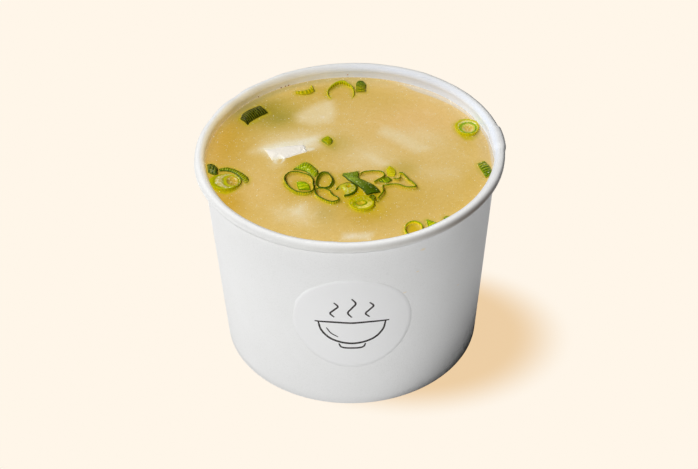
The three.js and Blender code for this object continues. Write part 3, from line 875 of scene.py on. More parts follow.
def cup_wall():
    """The wall with its folded foot, its rolled rim and the step of its lapped seam."""
    bm = spun(wall_profile(), WALL_COLUMNS, loop=True)
    places = []
    for v in bm.verts:
        r, z = math.hypot(v.co.x, v.co.y), v.co.z
        share = (math.atan2(v.co.y, v.co.x) % FULL_TURN) / FULL_TURN
        angle = SEAM_ANGLE + FULL_TURN * (share - SEAM_CROWD * math.sin(FULL_TURN * share))
        proud = seam_proud(angle)
        off_r, off_z = r - ROLL_CENTRE[0], z - ROLL_CENTRE[1]
        inside, turn = 0.0, -90.0
        if abs(math.hypot(off_r, off_z) - ROLL_RADIUS) < ON_FACE:
            turn = (math.degrees(math.atan2(off_z, off_r)) + 90) % 360 - 90
            inside = float(smooth(turn, *LINING_STARTS))
            upper = float(smooth(off_z, *CREASED))
            grow = 1 + (proud * (1 + upper) + rim_relief(angle) * upper) / ROLL_RADIUS
            r, z = ROLL_CENTRE[0] + off_r * grow, ROLL_CENTRE[1] + off_z * grow
        elif abs(r - outer_wall(z)) < ON_FACE:
            r += proud
        elif abs(r - inner_wall(z)) < ON_FACE:
            r -= proud * z / CUP_HEIGHT
            inside, turn = 1.0, 270.0
        places.append((math.degrees(angle), turn, inside, off_z))
        x, y = r * math.cos(angle), r * math.sin(angle)
        v.co = (x, y, z + rim_lift(x, y, z))
    degrees, turn, inside, off_z = np.array(places).T
    paint_points(bm, "tone", paper_tones(degrees, turn, inside, off_z))
    paint_points(bm, "glow", paper_glows(degrees, turn, inside))
    finish_piece("paper_wall", bm, "cup_paper", ["cup_wall"], crease=50)


def cup_bottom():
    """The raised disc and its skirt, which stands in the fold of the wall's foot."""
    skirt = [(inner_wall(z) - SLOT_CLEARANCE, z) for z in (BOARD + GAP, RECESS, RECESS + BOARD)]
    (end_r, end), (low_r, low), (top_r, top) = skirt
    flat = [i / BOTTOM_RINGS * (low_r - BOARD - FOLD_CORNER) for i in range(BOTTOM_RINGS + 1)]
    under = [(r, RECESS - BOTTOM_DISH * math.sin(math.pi * r / flat[-1])) for r in flat]
    corner = [(low_r - BOARD, RECESS - FOLD_CORNER), (end_r - BOARD, end)]
    over = [(end_r, end), (low_r, low), (top_r - FOLD_CORNER, top), (0, top)]
    bm = spun(under + corner + over, BOTTOM_COLUMNS)
    paint_points(bm, "tone", [PAPER] * len(bm.verts))
    paint_points(bm, "glow", [(0, 0, 0)] * len(bm.verts))
    finish_piece("paper_bottom", bm, "cup_paper", ["cup_bottom"])


# ---- Label and its print ----

FILM_THICKNESS = 0.06
FILM_ROUND = 0.04  # drop of the film's rounded edge
FILM_BED = -0.02  # the film's underside, a little inside the paper
FILM_RINGS = 14
FILM_COLUMNS = 128
INK_THICKNESS = 0.03
PEN_TAPER = 0.35  # how much a pen stroke thins at its ends
PEN_CUTS = 14  # steps of a pen stroke for each point that it goes through


def wrap_on_cup(bm, lift=0.0):
    """Bends a flat shape onto the front of the tapered wall. Its x runs round the cup, its y
    up from the label's middle and its z out from the wall."""
    for v in bm.verts:
        z = LABEL_HEIGHT + v.co.y
        r = outer_wall(z) + lift + v.co.z
        angle = v.co.x / outer_wall(LABEL_HEIGHT) - math.pi / 2
        v.co = (r * math.cos(angle), r * math.sin(angle), z)


def label_piece():
    """The round clear film that lies on the paper."""
    rings = [LABEL_RADIUS * i / FILM_RINGS for i in range(FILM_RINGS)]
    top = [(r, FILM_THICKNESS) for r in rings + [LABEL_RADIUS - FILM_THICKNESS]]
    side = [(LABEL_RADIUS, FILM_THICKNESS - FILM_ROUND), (LABEL_RADIUS, FILM_BED)]
    under = [(r, FILM_BED) for r in reversed(rings)]
    bm = spun(top + side + under, FILM_COLUMNS)
    layers = new_layers(bm, "fall")
    for v in bm.verts:
        mark(v, layers, LABEL_RADIUS - math.hypot(v.co.x, v.co.y))
    wrap_on_cup(bm)
    finish_piece("film_label", bm, "label_film", ["label"])


def stroke(points, width):
    """A pen stroke through (x, y) points on the label, thinning towards its ends."""
    steps = len(points) * PEN_CUTS
    at, left, _ = smooth_path(points, steps)
    bm, grid = flat_sheet(steps, 2)
    for v, (i, share) in zip(bm.verts, grid):
        side = (share - 0.5) * width * (1 - PEN_TAPER * (2 * i / steps - 1) ** 4)
        v.co = (at[i][0] + left[i][0] * side, at[i][1] + left[i][1] * side, 0)
    return bm


def bowl_print():
    """A bowl on its foot with three curls of steam above it."""
    bowl = [(-10.5, 0.6), (-9.6, -3.0), (-6.6, -6.4), (0, -8.2), (6.6, -6.4), (9.6, -3.0), (10.5, 0.6)]
    strokes = [
        (bowl, 0.75),
        ([(-11.6, 0.7), (-5, 1.0), (0, 0.8), (5, 1.0), (11.6, 0.7)], 0.7),
        ([(-4.2, -8.3), (-3.5, -9.8), (0, -10.3), (3.5, -9.8), (4.2, -8.3)], 0.65),
        ([(-8.0, -1.6), (-6.6, -3.9), (-4.4, -5.4)], 0.4),
    ]
    for x, low, high in ((-5.4, 3.2, 9.4), (0, 3.2, 11.2), (5.4, 3.2, 9.4)):
        tall = high - low
        curl = [(x, low), (x - 1.2, low + 0.25 * tall), (x, low + 0.5 * tall)]
        strokes.append((curl + [(x + 1.2, low + 0.75 * tall), (x, high)], 0.6))
    whole = bmesh.new()
    for points, width in strokes:
        part = stroke(points, width)
        bmesh.ops.translate(part, vec=(0, 0, INK_THICKNESS), verts=second_side(part))
        close_up(part)
        made = bpy.data.meshes.new("stroke")
        part.to_mesh(made)
        part.free()
        whole.from_mesh(made)
        bpy.data.meshes.remove(made)
    wrap_on_cup(whole, lift=FILM_THICKNESS)
    finish_piece("bowl_print", whole, "label_ink")


# ---- Garnish shapes ----

WALL_CUT = 0.22  # length in mm of a step along a standing wall
TALL_WALL = 1.3  # a wall taller than this, in mm, has more rows of points
WALL_BEND = 10.0  # radius of the ring as which a wall is spun before it takes its own curve
WALL_RISE = 0.16  # how much a wall's top edge goes up and down, in mm
WALL_SWAY = 0.12  # how much a wall wanders to its sides, in mm
WALL_SWELL = 0.35  # how much of its thickness a wall gains and loses
LEAF_CUT = 0.13  # length in mm of a step along a lying leaf
LEAF_ROWS = 16  # steps across a lying leaf
RIB_PITCH = 0.75  # distance in mm from rib to rib
RIB_SLANT = 0.2  # how far a rib runs along the leaf from its middle to its edge, in mm
RIB_RISE = 0.035  # how high a rib stands, in mm
GROOVE = 0.06  # width of the groove round a slice's inner ring, in shares of its radius
SLICE_COLUMNS = 112
MOON_TOP = SOUP_LEVEL + 0.62  # height of the half moon's top
MOON_DEPTH = 1.8  # its thickness, in mm
MOON_CELLS = (70, 32)
MOON_RING = 0.62  # where the inner part of the half moon ends, in shares from middle to skin

# Places where leaves stand out of the soup: x, y and how far they tint it.
garnish_marks = []


def remember(bm, reach):
    """Notes where a piece stands out of the soup, for the soup's tint and shape round it."""
    for v in bm.verts:
        if SOUP_LEVEL + 0.2 < v.co.z < SOUP_LEVEL + 1.6:
            garnish_marks.append((v.co.x, v.co.y, reach))


def tilt_about(bm, at, degrees, top):
    """Tips a shape to the front or the back about a point at its top."""
    turn = Matrix.Rotation(math.radians(degrees), 3, "X")
    bmesh.ops.rotate(bm, cent=(*at, top), verts=bm.verts, matrix=turn)


def wall_section(thickness, height):
    """The section of a standing leaf, rounded over its top: (side, height) points."""
    half = thickness / 2
    crown = [(half * math.cos(a), half * 0.8 * (math.sin(a) - 1)) for a in np.linspace(0, math.pi, 7)]
    rows = [-0.25, -0.45, -0.7, -0.95, -1.25, -height] if height > TALL_WALL else [-0.3, -0.6, -height]
    down = [(-half, z) for z in rows]
    up = [(half, z) for z in reversed(rows)]
    return crown + down + up


def standing_wall(
    finish, through, closed=True, thickness=THIN_SKIN, top=WALL_TOP, height=LEAF_DEPTH, tilt=None,
    lean=(0, 0), veiled=1, swollen=None,
):
    """A thin wall of leaf that stands in the soup along a curve. Lean is how far its foot moves
    in x and y for each mm of depth. The soup veils its left side where veiled is 1, and its
    right side where it is -1. Swollen is a place, a reach and how much thicker it is there."""
    rough_length = sum(math.dist(a, b) for a, b in zip(through, through[1:]))
    steps = max(16, int(rough_length / WALL_CUT))
    at, left, gone = smooth_path(through, steps, closed)
    bm = bmesh.new()
    loop = [bm.verts.new((WALL_BEND + side, 0, z)) for side, z in wall_section(thickness, height)]
    edges = [bm.edges.new(pair) for pair in zip(loop, loop[1:] + loop[:1])]
    sweep = FULL_TURN if closed else math.pi
    bmesh.ops.spin(
        bm, geom=loop + edges, cent=(0, 0, 0), axis=(0, 0, 1), angle=sweep, steps=steps,
        use_merge=closed,
    )
    close_up(bm)
    layers = new_layers(bm, "along", "fall", "veil")
    seed = through[0][0]
    for v in bm.verts:
        turn = math.atan2(v.co.y, v.co.x)
        if turn < -1:
            turn += FULL_TURN
        i = round(turn / sweep * steps) % (steps if closed else steps + 1)
        x, y = at[i]
        side, z = math.hypot(v.co.x, v.co.y) - WALL_BEND, v.co.z
        mark(v, layers, gone[i], -z, float(side * veiled > 0.05))
        rise = WALL_RISE * noise.noise(Vector((x * 0.45 + seed, y * 0.45, 0)))
        swell = 1 + WALL_SWELL * waver(x, y, 1.3, seed)
        if swollen:
            spot, reach, more = swollen
            swell *= 1 + more * (1 - float(smooth(math.dist(at[i], spot), 0, reach)))
        off = side * swell + WALL_SWAY * waver(x, y, 0.9, seed + z)
        v.co = (x + left[i][0] * off - lean[0] * z, y + left[i][1] * off - lean[1] * z, top + z + rise)
    if tilt:
        tilt_about(bm, *tilt, top)
    return bm, finish


def lying_leaf(finish, arch, edge, far_edge, lift=0.3, sinks=()):
    """A leaf on the soup between two edges, arched across, with ribs across its length. Sinks are
    places where it goes under: their middle, reach and depth."""
    length = sum(math.dist(a, b) for a, b in zip(edge, edge[1:]))
    steps = max(16, int(length / LEAF_CUT))
    one, _, gone = smooth_path(edge, steps)
    two, _, _ = smooth_path(far_edge, steps)
    bm, grid = flat_sheet(steps, LEAF_ROWS)
    layers = new_layers(bm, "along", "fall", "run")
    spots = np.array([mix(one[i], two[i], share) for i, share in grid])
    inward = np.abs(outline_distance(spots[:, 0], spots[:, 1], np.vstack([one, two[::-1]])))
    for v, (i, share), (x, y), off_edge in zip(bm.verts, grid, spots, inward):
        across, run = 2 * share - 1, i / steps
        along = gone[i] + RIB_SLANT * across
        mark(v, layers, along, float(off_edge), run)
        crown = arch * (1 - across * across) * mix(0.6, 1, smooth(min(run, 1 - run), 0, 0.12))
        rib = RIB_RISE * math.sin(FULL_TURN * along / RIB_PITCH) * (1 - across**4)
        lump = 0.12 * waver(x, y, 0.7, edge[0][1])
        wander = 0.07 * waver(x, y, 1.6, edge[0][0])
        z = SOUP_LEVEL + lift + crown + lump + rib - sunk_by(x, y, sinks)
        v.co = (x + wander, y + wander, z)
    bmesh.ops.translate(bm, vec=(0, 0, -LEAF_SKIN), verts=second_side(bm))
    close_up(bm)
    return bm, finish


def oval_point(angle, half, turn):
    """The point of an oval at an angle, counted from its own heading."""
    point = Vector((math.cos(angle) * half[0], math.sin(angle) * half[1]))
    point.rotate(Matrix.Rotation(turn, 2))
    return point


def stem_slice(finish, at, radii, hole, ring_at, pale=0, pale_edge=(0.2, 0.9), turn=0, tilt=0):
    """A slice of white stem: rounded skin, a groove round an inner ring, and a pitted middle. Hole
    is the inner ring's middle, half size and turn; pale is where the flesh is palest."""
    groove = ring_at + GROOVE
    profile = [
        (0, -0.3), (ring_at * 0.35, -0.28), (ring_at * 0.6, -0.14), (ring_at * 0.8, 0.02),
        (ring_at, 0.03), (ring_at + GROOVE / 2, -0.1), (groove, -0.1), (groove + 0.05, 0.0),
        (mix(groove, 1, 0.4), 0.04), (mix(groove, 1, 0.6), -0.02), (0.88, 0.05), (0.96, 0.02),
        (1, -0.1), (1, -0.3), (0.998, -0.6), (0.995, -1.0), (0.98, -SLICE_DEPTH),
        (0.5, -SLICE_DEPTH), (0, -SLICE_DEPTH),
    ]
    fine = []
    for (r0, z0), (r1, z1) in zip(profile, profile[1:]):
        cuts = 3 if z0 > -0.5 else 1
        fine += [(mix(r0, r1, k / cuts), mix(z0, z1, k / cuts)) for k in range(cuts)]
    bm = spun(fine + profile[-1:], SLICE_COLUMNS)
    layers = new_layers(bm, "share", "fall", "ring", "along", "pale")
    heading, (middle, half, hole_turn) = math.radians(turn), hole
    hole_turn = math.radians(hole_turn)
    for v in bm.verts:
        x, y, z = v.co
        share, angle = math.hypot(x, y), math.atan2(y, x)
        round_seed = Vector((math.cos(angle) * 1.6 + at[0], math.sin(angle) * 1.6, at[1]))
        rim = oval_point(angle, radii, heading) * (1 + 0.05 * noise.noise(round_seed))
        inner = Vector(middle) + oval_point(angle + heading - hole_turn, half, hole_turn)
        if share < ring_at:
            spot = Vector(middle).lerp(inner, share / ring_at)
        else:
            spot = inner.lerp(rim, (share - ring_at) / (1 - ring_at))
        paleness = float(smooth(math.cos(angle + heading - math.radians(pale)), *pale_edge))
        fall = max(0.0, -z) if share > 0.97 else 0.0
        mark(v, layers, share, fall, ring_at, angle * sum(radii) / 2, paleness)
        pulp = 0.10 * waver(spot.x, spot.y, 1.2, at[0]) * (z > -0.6)
        v.co = (at[0] + spot.x, at[1] + spot.y, SLICE_TOP + z + pulp)
    if tilt:
        tilt_about(bm, at, tilt, SLICE_TOP)
    return bm, finish


def half_moon(finish, rim, cut, core, sinks=()):
    """A thick slice that is open along a cut, with a small core, and sunk at one end."""
    outside, _, gone = smooth_path(rim, MOON_CELLS[0])
    inside, _, _ = smooth_path(cut, MOON_CELLS[0])
    bm, grid = flat_sheet(*MOON_CELLS)
    layers = new_layers(bm, "share", "fall", "ring", "along", "pale")
    for v, (i, out) in zip(bm.verts, grid):
        x, y = mix(inside[i], outside[i], out)
        to_core = math.dist((x, y), core)
        to_rim = (1 - out) * math.dist(inside[i], outside[i])
        skin = mix(1, min(0.75, 0.2 + to_core / 1.6), float(smooth(to_rim, 0.35, 0.6)))
        mark(v, layers, skin, 0, MOON_RING, gone[i], 1 - abs(2 * out - 1))
        bulge = 0.12 * math.sin(math.pi * min(1, out * 1.05)) - 0.05 * smooth(out, 0.93, 1)
        bulge += 0.08 * waver(x, y, 1.3, 2) - 0.2 * (1 - smooth(to_core, 0.3, 1.0))
        v.co = (x, y, MOON_TOP + bulge - sunk_by(x, y, sinks))
    for v in second_side(bm):
        v.co.z = MOON_TOP - MOON_DEPTH
        mark(v, layers[1:2], 1.0)
    close_up(bm)
    return bm, finish


# ---- Where each piece of scallion floats ----

# Each piece's shape and the name of its finish, with the (x, y) points in mm that it follows.
garnish = {
    "ring_oval": standing_wall(
        "ring_green",
        [(-20.3, -10.4), (-20.2, -12.3), (-19.2, -14.6), (-17.8, -16.6), (-16.4, -17.8), (-14.8, -18.4),
         (-12.8, -18.3), (-11.5, -17.2), (-11.2, -15.7), (-11.5, -13.7), (-11.5, -11.8), (-12.3, -10),
         (-13.7, -8.9), (-15.6, -8), (-17.6, -7.7), (-18.9, -8.1), (-19.9, -9.1)],
    ),
    "ring_tube": standing_wall(
        "ring_murky",
        [(-10.3, -11.9), (-10.5, -13.6), (-9.9, -15.2), (-8.3, -15.7), (-6.6, -15.2), (-5.7, -13.6),
         (-5.6, -12), (-6, -10.4), (-6.8, -9), (-8.1, -8.4), (-9.3, -9), (-9.9, -10.2)],
        thickness=0.34, tilt=((-8.1, -12.0), 5.0), lean=(0.75, -0.2),
    ),
    "ring_bean": standing_wall(
        "ring_green",
        [(-10.7, -17.5), (-10.5, -19.2), (-9.5, -20.7), (-8.1, -21.9), (-6.7, -22.8), (-5.3, -23.2),
         (-4.1, -22.7), (-3.5, -21.6), (-3.9, -20.8), (-5.05, -20.1), (-5.75, -19.1), (-6.3, -17.7),
         (-7.3, -16.7), (-8.7, -16.4), (-9.9, -16.5)],
    ),
    "loop": standing_wall(
        "strand_green",
        [(3.3, -9.3), (4.1, -8.4), (5.8, -8), (7.4, -7.75), (9.1, -8), (10.4, -8.8), (10.8, -10),
         (10, -11.3), (8.6, -12.5), (7.6, -13.5)],
        closed=False, veiled=-1,
    ),
    "arc": standing_wall(
        "strand_green",
        [(13.6, -11.9), (14.4, -12.25), (15.3, -12.05), (15.75, -11.1), (15.8, -10.4)],
        closed=False, thickness=0.24, veiled=-1,
    ),
    "strand": standing_wall(
        "strand_green",
        [(15.4, -8.9), (16.5, -9.3), (17.2, -10.7), (18, -12.3), (19.1, -13.6), (19.9, -14.7),
         (20.3, -15.8), (19.7, -16.4), (17.4, -16.2), (16.3, -15.8), (14.9, -15), (13.3, -14.7),
         (11.3, -15.1), (10.2, -15.5), (10.1, -16.8), (10.2, -18.4), (9.4, -20.1), (8.5, -21.7)],
        closed=False, lean=(0.35, -0.15),
    ),
    "ring_back": standing_wall(
        "ring_olive",
        [(-7, 36.4), (-5.6, 32.9), (-2.4, 30.6), (0.9, 32.8), (1.8, 36.4), (0.8, 40), (-2.4, 42.2),
         (-5.7, 39.8)],
        thickness=0.34, top=SOUP_LEVEL + 0.5, tilt=((-2.5, 36.6), 7.5), veiled=0,
        swollen=((-2.4, 42.6), 6, 1.6),
    ),
    "ring_front": standing_wall(
        "ring_lime",
        [(16.3, -37), (17, -39.6), (18.8, -40.5), (20.6, -39.7), (21.5, -37), (21.1, -34.6),
         (19.3, -33.3), (17.2, -34.3)],
        thickness=0.2,
    ),
    "curl": standing_wall(
        "ring_murky",
        [(5.9, -21.2), (7, -20.9), (7.7, -21.8), (7.3, -22.8), (6.6, -22.2)],
        closed=False, thickness=0.26, top=SLICE_TOP + 0.9, height=0.9,
    ),
    "bulb_middle": stem_slice(
        "stem_middle", (3.6, -23.4), (3.9, 3.9), ((-0.5, -0.3), (1.95, 1.15), 15), 0.42, pale=-50,
        tilt=-4,
    ),
    "bulb_left": stem_slice(
        "stem_left", (-38.9, -11.6), (5.1, 4.3), ((2.3, 0.1), (2.05, 3.35), 14), 0.56, pale=185,
        pale_edge=(-0.4, 0.3), turn=-6, tilt=-5,
    ),
    "bulb_right": stem_slice(
        "stem_right", (38.3, 15.9), (4, 4.9), ((0.3, -1.2), (2.45, 3.2), -6), 0.62, pale=85,
        pale_edge=(0.4, 0.9), tilt=-4.5,
    ),
    "half_moon": half_moon(
        "moon_flesh",
        [(-4.3, -16.3), (-3.6, -15.3), (-2.6, -14.3), (-1.2, -13.5), (0.2, -13.5), (1.5, -14.3),
         (2.2, -15.7), (2, -17.3), (1.2, -18.6), (-0.3, -19.7), (-1.8, -20.1)],
        [(-3.9, -16.3), (-2.9, -15.9), (-2.1, -16.4), (-1.7, -17.4), (-1.5, -18.7), (-1.8, -19.8)],
        (-0.4, -15.4), [((-3.0, -17.2), 2.4, 0.95)],
    ),
    "chip_ring": lying_leaf(
        "chip_leaf", 0.3,
        [(-16.5, -12.4), (-16.3, -14.4), (-15.8, -16.3)],
        [(-13.9, -12.5), (-12.8, -13.8), (-12.4, -16.5)],
    ),
    "crescent": lying_leaf(
        "lime_leaf", 0.5,
        [(-17.7, -5.8), (-16.6, -4.6), (-15.4, -3.2), (-14, -2.2), (-12.5, -3.1), (-11.2, -4.7),
         (-10.2, -6.3), (-9.8, -8.3)],
        [(-17.3, -5.8), (-16.1, -6), (-14.5, -6.6), (-13.1, -7.7), (-12.2, -8.8), (-11.2, -10.1)],
        sinks=[((-10.8, -9.7), 2.2, 0.5)],
    ),
    "ribbon": lying_leaf(
        "ribbon_leaf", 0.45,
        [(-2.4, -9.1), (-1.4, -10.4), (-0.5, -11.7), (0.8, -13.1), (2.4, -14.8), (3.6, -16.3),
         (4.6, -18.1), (5.1, -19.4)],
        [(1.9, -8.7), (2.4, -9.8), (2.9, -10.9), (3.9, -11.8), (5.8, -13.2), (7.4, -14.6), (8.6, -16.3),
         (9.3, -18.2)],
        lift=0.35,
    ),
    "ribbon_fold": lying_leaf(
        "ribbon_pale", 0.2,
        [(-2.2, -8.9), (-0.6, -8.6), (1, -8.2), (2.7, -7.8)],
        [(-1.9, -9.3), (-0.4, -9.6), (1.3, -10), (2.7, -10.2)],
        lift=0.7,
    ),
    "chip_pale": lying_leaf(
        "pale_leaf", 0.15,
        [(12.3, -5), (11.6, -6.4), (11.6, -8.2), (12, -10)],
        [(13, -5), (13.9, -6.2), (14.3, -8.4), (13.8, -10.2)],
        sinks=[((13.0, -10.6), 2.2, 0.4)],
    ),
    "chip_middle": lying_leaf(
        "green_leaf", 0.3,
        [(8.3, -12.1), (9.4, -11.5), (10.4, -11), (11.6, -10.4)],
        [(9.6, -13), (10.8, -13.4), (11.8, -13.4), (13.1, -11.9)],
        sinks=[((10.8, -13.6), 1.6, 0.3)],
    ),
    "barrel": lying_leaf(
        "barrel_leaf", 0.3,
        [(-44.9, -3), (-43.8, -2.6), (-42.7, -3.1), (-41.7, -4.6)],
        [(-44.4, -6.6), (-43.6, -7.4), (-42.7, -7.8), (-41.6, -7.9)],
        lift=0.5,
    ),
    "strip_left": lying_leaf(
        "strip_leaf", 0.3,
        [(-41, -5.1), (-39.5, -4.4), (-37.5, -4.6), (-35.2, -6), (-33.2, -7.9), (-31.8, -10),
         (-31.2, -11.8)],
        [(-40.8, -6.1), (-38.8, -6.1), (-36.8, -6.9), (-35.1, -8.5), (-34.2, -9.8), (-33.3, -11.3),
         (-32.7, -12.5)],
        sinks=[((-31.8, -12.3), 3.0, 0.5)],
    ),
    "leaf_dark": lying_leaf(
        "dark_leaf", 0.6,
        [(-35.5, 22.3), (-34.7, 25), (-32.5, 27.5), (-29.5, 29.5)],
        [(-33, 18.9), (-31.6, 21.4), (-29.5, 23.4), (-26.7, 25.6)],
        sinks=[((-31.2, 19.6), 2.8, 0.55), ((-28.0, 22.6), 2.8, 0.55)],
    ),
    "crescent_back": lying_leaf(
        "rind_leaf", 0.3,
        [(-17.8, 38), (-16, 38), (-14.5, 38.3), (-13.2, 39.4), (-12.5, 41.4)],
        [(-17.6, 36.4), (-15.5, 35.9), (-13.2, 36.2), (-11.5, 37.8), (-11.9, 40.2)],
        lift=0.25,
    ),
    "chip_back": lying_leaf(
        "back_leaf", 0.3,
        [(2.4, 37), (2.5, 39.4), (2.6, 41.6), (3.2, 43)],
        [(5.5, 37), (5.7, 39.4), (5.7, 41.6), (5, 43.1)],
        lift=0.4,
    ),
    "chip_centre": lying_leaf(
        "olive_leaf", 0.3,
        [(-7.1, 11.7), (-8.2, 10.8), (-8.9, 9.6), (-7.9, 8.2), (-7, 7)],
        [(-6.7, 11.5), (-5.8, 10.6), (-5.5, 9.3), (-5.7, 8), (-6.2, 6.9)],
        sinks=[((-6.2, 6.4), 2.4, 0.6)],
    ),
    "strip_right": lying_leaf(
        "shiny_leaf", 0.3,
        [(40.2, -3.8), (40.6, -6), (41.3, -8.2), (42.3, -11.5)],
        [(42.5, -2.9), (43.7, -5.5), (44.3, -8), (44, -10.3)],
        sinks=[((40.8, -3.0), 2.4, 0.4)],
    ),
    "chip_front": lying_leaf(
        "chip_leaf", 0.15,
        [(22.9, -32.2), (23.1, -34), (23.4, -36.4)],
        [(23.2, -32.3), (24.9, -33.2), (26.3, -34.1)],
        lift=0.4,
    ),
    "chip_rim": lying_leaf(
        "lime_leaf", 0.2,
        [(28.1, -31.8), (28.7, -31), (29.5, -30.8)],
        [(28.7, -32.5), (29.4, -32.2), (30.2, -31.8)],
        lift=0.5,
    ),
}


# ---- Tofu ----

TOFU_SIZE = (12.6, 11.0, 9.0)
TOFU_NEAR_EDGE = Vector((-18.4, 1.2, 0))
TOFU_HEADING = math.radians(23.7)

# The part of the block that stands out of the soup, and how high.
TOFU_ISLAND = [
    (-28.4, 6.1), (-25.4, 6.0), (-22.6, 6.9), (-20.5, 7.2), (-18.5, 7.5), (-16.5, 7.7), (-14.8, 7.9),
    (-14.1, 6.9), (-13.6, 5.9), (-14.2, 5.2), (-13.4, 4.4), (-13.8, 3.6), (-16, 2.7), (-18, 1.6),
    (-19.8, 0.6), (-20.6, 0.1), (-21.5, 0.2), (-22.8, 0.2), (-24.9, -1.1), (-26.0, 1.6), (-27.4, 4.0),
]
TOFU_TORN_END = (-14.1, 5.4)
TOFU_CELLS = (84, 74)
TOFU_STANDS = 0.28  # how high its top stands out of the soup, in mm
TOFU_UNDER = -0.75  # how far under the soup the rest of its top lies, in mm


def tofu_block():
    """A block that floats tilted, its top a low crumbly island, the rest just under."""
    bm, grid = flat_sheet(*TOFU_CELLS)
    turn = Matrix.Rotation(TOFU_HEADING, 3, "Z")
    spots = []
    for v, (_, share) in zip(bm.verts, grid):
        long, deep = v.co.x * TOFU_SIZE[0] / 2, share * TOFU_SIZE[1]
        wander = 0.105 * waver(long, deep, 0.5, 7)
        spots.append(turn @ Vector((long + wander, deep, 0)) + TOFU_NEAR_EDGE)
    x, y, _ = np.array(spots).T
    for v, spot, depth in zip(bm.verts, spots, outline_distance(x, y, TOFU_ISLAND)):
        crumb = noise.fractal(Vector((spot.x * 1.1, spot.y * 1.1, 3)), 1.0, 2.0, 3)
        torn = math.exp(-((math.dist(spot[:2], TOFU_TORN_END) / 1.5) ** 2))
        back = (spot - TOFU_NEAR_EDGE).dot(turn @ Vector((0, 1, 0)))
        leftward = 1 - float(smooth(spot.x, -22.5, -20.5))
        slope = mix(mix(0.45, 1.5, float(smooth(back, 2.4, 4.6))), 3.0, leftward)
        if depth > 0:
            height = TOFU_STANDS * float(smooth(depth, -0.1, slope)) + (0.03 + 0.2 * torn) * crumb
        else:
            height = 0.02 - 0.25 * min(-depth, 3.2) + 0.04 * crumb
        v.co = (spot.x, spot.y, SOUP_LEVEL + max(height, TOFU_UNDER))
    for v in second_side(bm):
        v.co.z = SOUP_LEVEL - TOFU_SIZE[2]
    close_up(bm)
    finish_piece("tofu_block", bm, "silken_tofu", ["tofu"], crease=60)


# ---- Soup ----

SOUP_CELLS = 304
SOUP_CLEAR = 0.35  # room in mm between the soup's lower edge and the wall
CLIMB = (0.22, 0.7)  # how far the soup climbs at the wall and how wide that is, in mm
DIP = (0.05, 0.9)  # how deep the soup dips beside a leaf and how wide that is, in mm
SOUP_BITE = 0.12  # how far the soup reaches into the wall, so no gap shows
SOUP_RADIUS = inner_wall(SOUP_LEVEL) + SOUP_BITE
LEAF_TINT = 0.5  # how strongly a leaf tints the soup beside it
WET_LINE = 0.45  # how strong the thin line along the wall is
# Painted shade beside the seam, where the bright wall lights the soup most.
SEAM_PAINTED_SHADE = 0.16  # how much darker the soup is beside the seam
SEAM_PATCH = ((8, 0), (15, 3.5))  # where: middle and reach, in degrees round, mm off the wall

# Soft patches of tone: name, middle and half size in mm, turn in degrees, strength.
TONE_PATCHES = [
    ("clay", (-41, 11), (9, 22), -6, 1.0),
    ("olive", (-26, 27), (11, 13), 35, 0.9),
    ("tan", (-6, 36), (15, 7), 0, 0.65),
    ("ochre", (-9, 41), (9, 4.5), 10, 0.5),
    ("peach", (22, 20), (15, 14), 0, 0.95),
    ("tan", (12, 32), (10, 7), 0, 0.35),
    ("straw", (28, 6), (9, 7), 0, 0.55),
    ("straw", (32, -8), (9, 6), 0, 0.45),
    ("tan", (-15, -1), (9, 4.5), 20, 0.8),
    ("ochre", (-16, 2.0), (6, 2.6), 25, 0.5),
    ("olive", (-4, 8), (5, 6), 30, 0.45),
    ("olive", (17, -6), (4.5, 5), 30, 0.5),
    ("ochre", (-15, -13), (6.5, 7), 0, 0.6),
    ("ochre", (-6, -17), (7, 8), 0, 0.65),
    ("ochre", (5, -20), (10, 9), 0, 0.75),
    ("tan", (19, -19), (8, 9), 40, 0.65),
    ("ochre", (5, -29), (8, 6), 0, 0.7),
    ("tan", (16, -28), (8, 8), 0, 0.35),
    ("murk", (-8, -28), (3.5, 5), 0, 0.28),
    ("tan", (-33, -28), (8, 10), 45, 0.3),
    ("ochre", (-38, -14), (7, 7), 0, 0.5),
    ("peach", (-28, -16), (9, 8), 0, 0.35),
    ("murk", (-22.5, 22.5), (4.5, 3.2), 40, 0.55),
    ("cream", (6, 1), (8, 7), 0, 0.5),
    ("cream", (-17, 13), (11, 3.2), 10, 0.45),
    ("cream", (-13, -29), (4, 6), 0, 0.35),
    ("cream", (24, 12), (7, 4), -35, 0.4),
    ("ochre", (-17, -16), (6, 6), 0, 0.4),
    ("amber", (-6, -14), (5, 6), 0, 0.35),
    ("amber", (5, -21), (7, 5), 0, 0.4),
    ("olive", (-4, 43.5), (12, 4), 0, 0.4),
    ("rust", (-38, -21), (5, 9), 28, 0.9),
    ("rust", (-40, -10), (5, 5), 0, 0.6),
    # Painted shade round the dark leaf and between it and the wall.
    ("bark", (-34.4, 29.6), (6, 1.7), 48, 0.7),
    ("bark", (-31.8, 26.0), (8.5, 6), 45, 0.55),
    ("ochre", (-35, 10), (7, 14), 0, 0.3),
    ("tan", (38, 7), (5, 5), 0, 0.5),
    ("tan", (41, -13), (8, 9), 30, 0.7),
    ("tan", (34, -26), (8, 7), 40, 0.5),
    ("gold", (2.6, -18.0), (3.0, 2.6), 0, 0.95),
    ("gold", (0.5, -21.0), (3.2, 2.0), 20, 0.6),
    ("gold", (7.5, -19.6), (2.6, 1.8), 0, 0.7),
    ("gold", (7.6, -27.0), (3.4, 3.4), 0, 0.45),
    ("curd", (-12, 7.5), (3.6, 2.8), 30, 0.5),
    ("cream", (18, 11), (5, 3), -35, 0.3),
    ("leafy", (0, 42.6), (4.5, 1.6), 0, 0.5),
    ("peach", (34, 18.5), (3, 3), 0, 0.5),
]

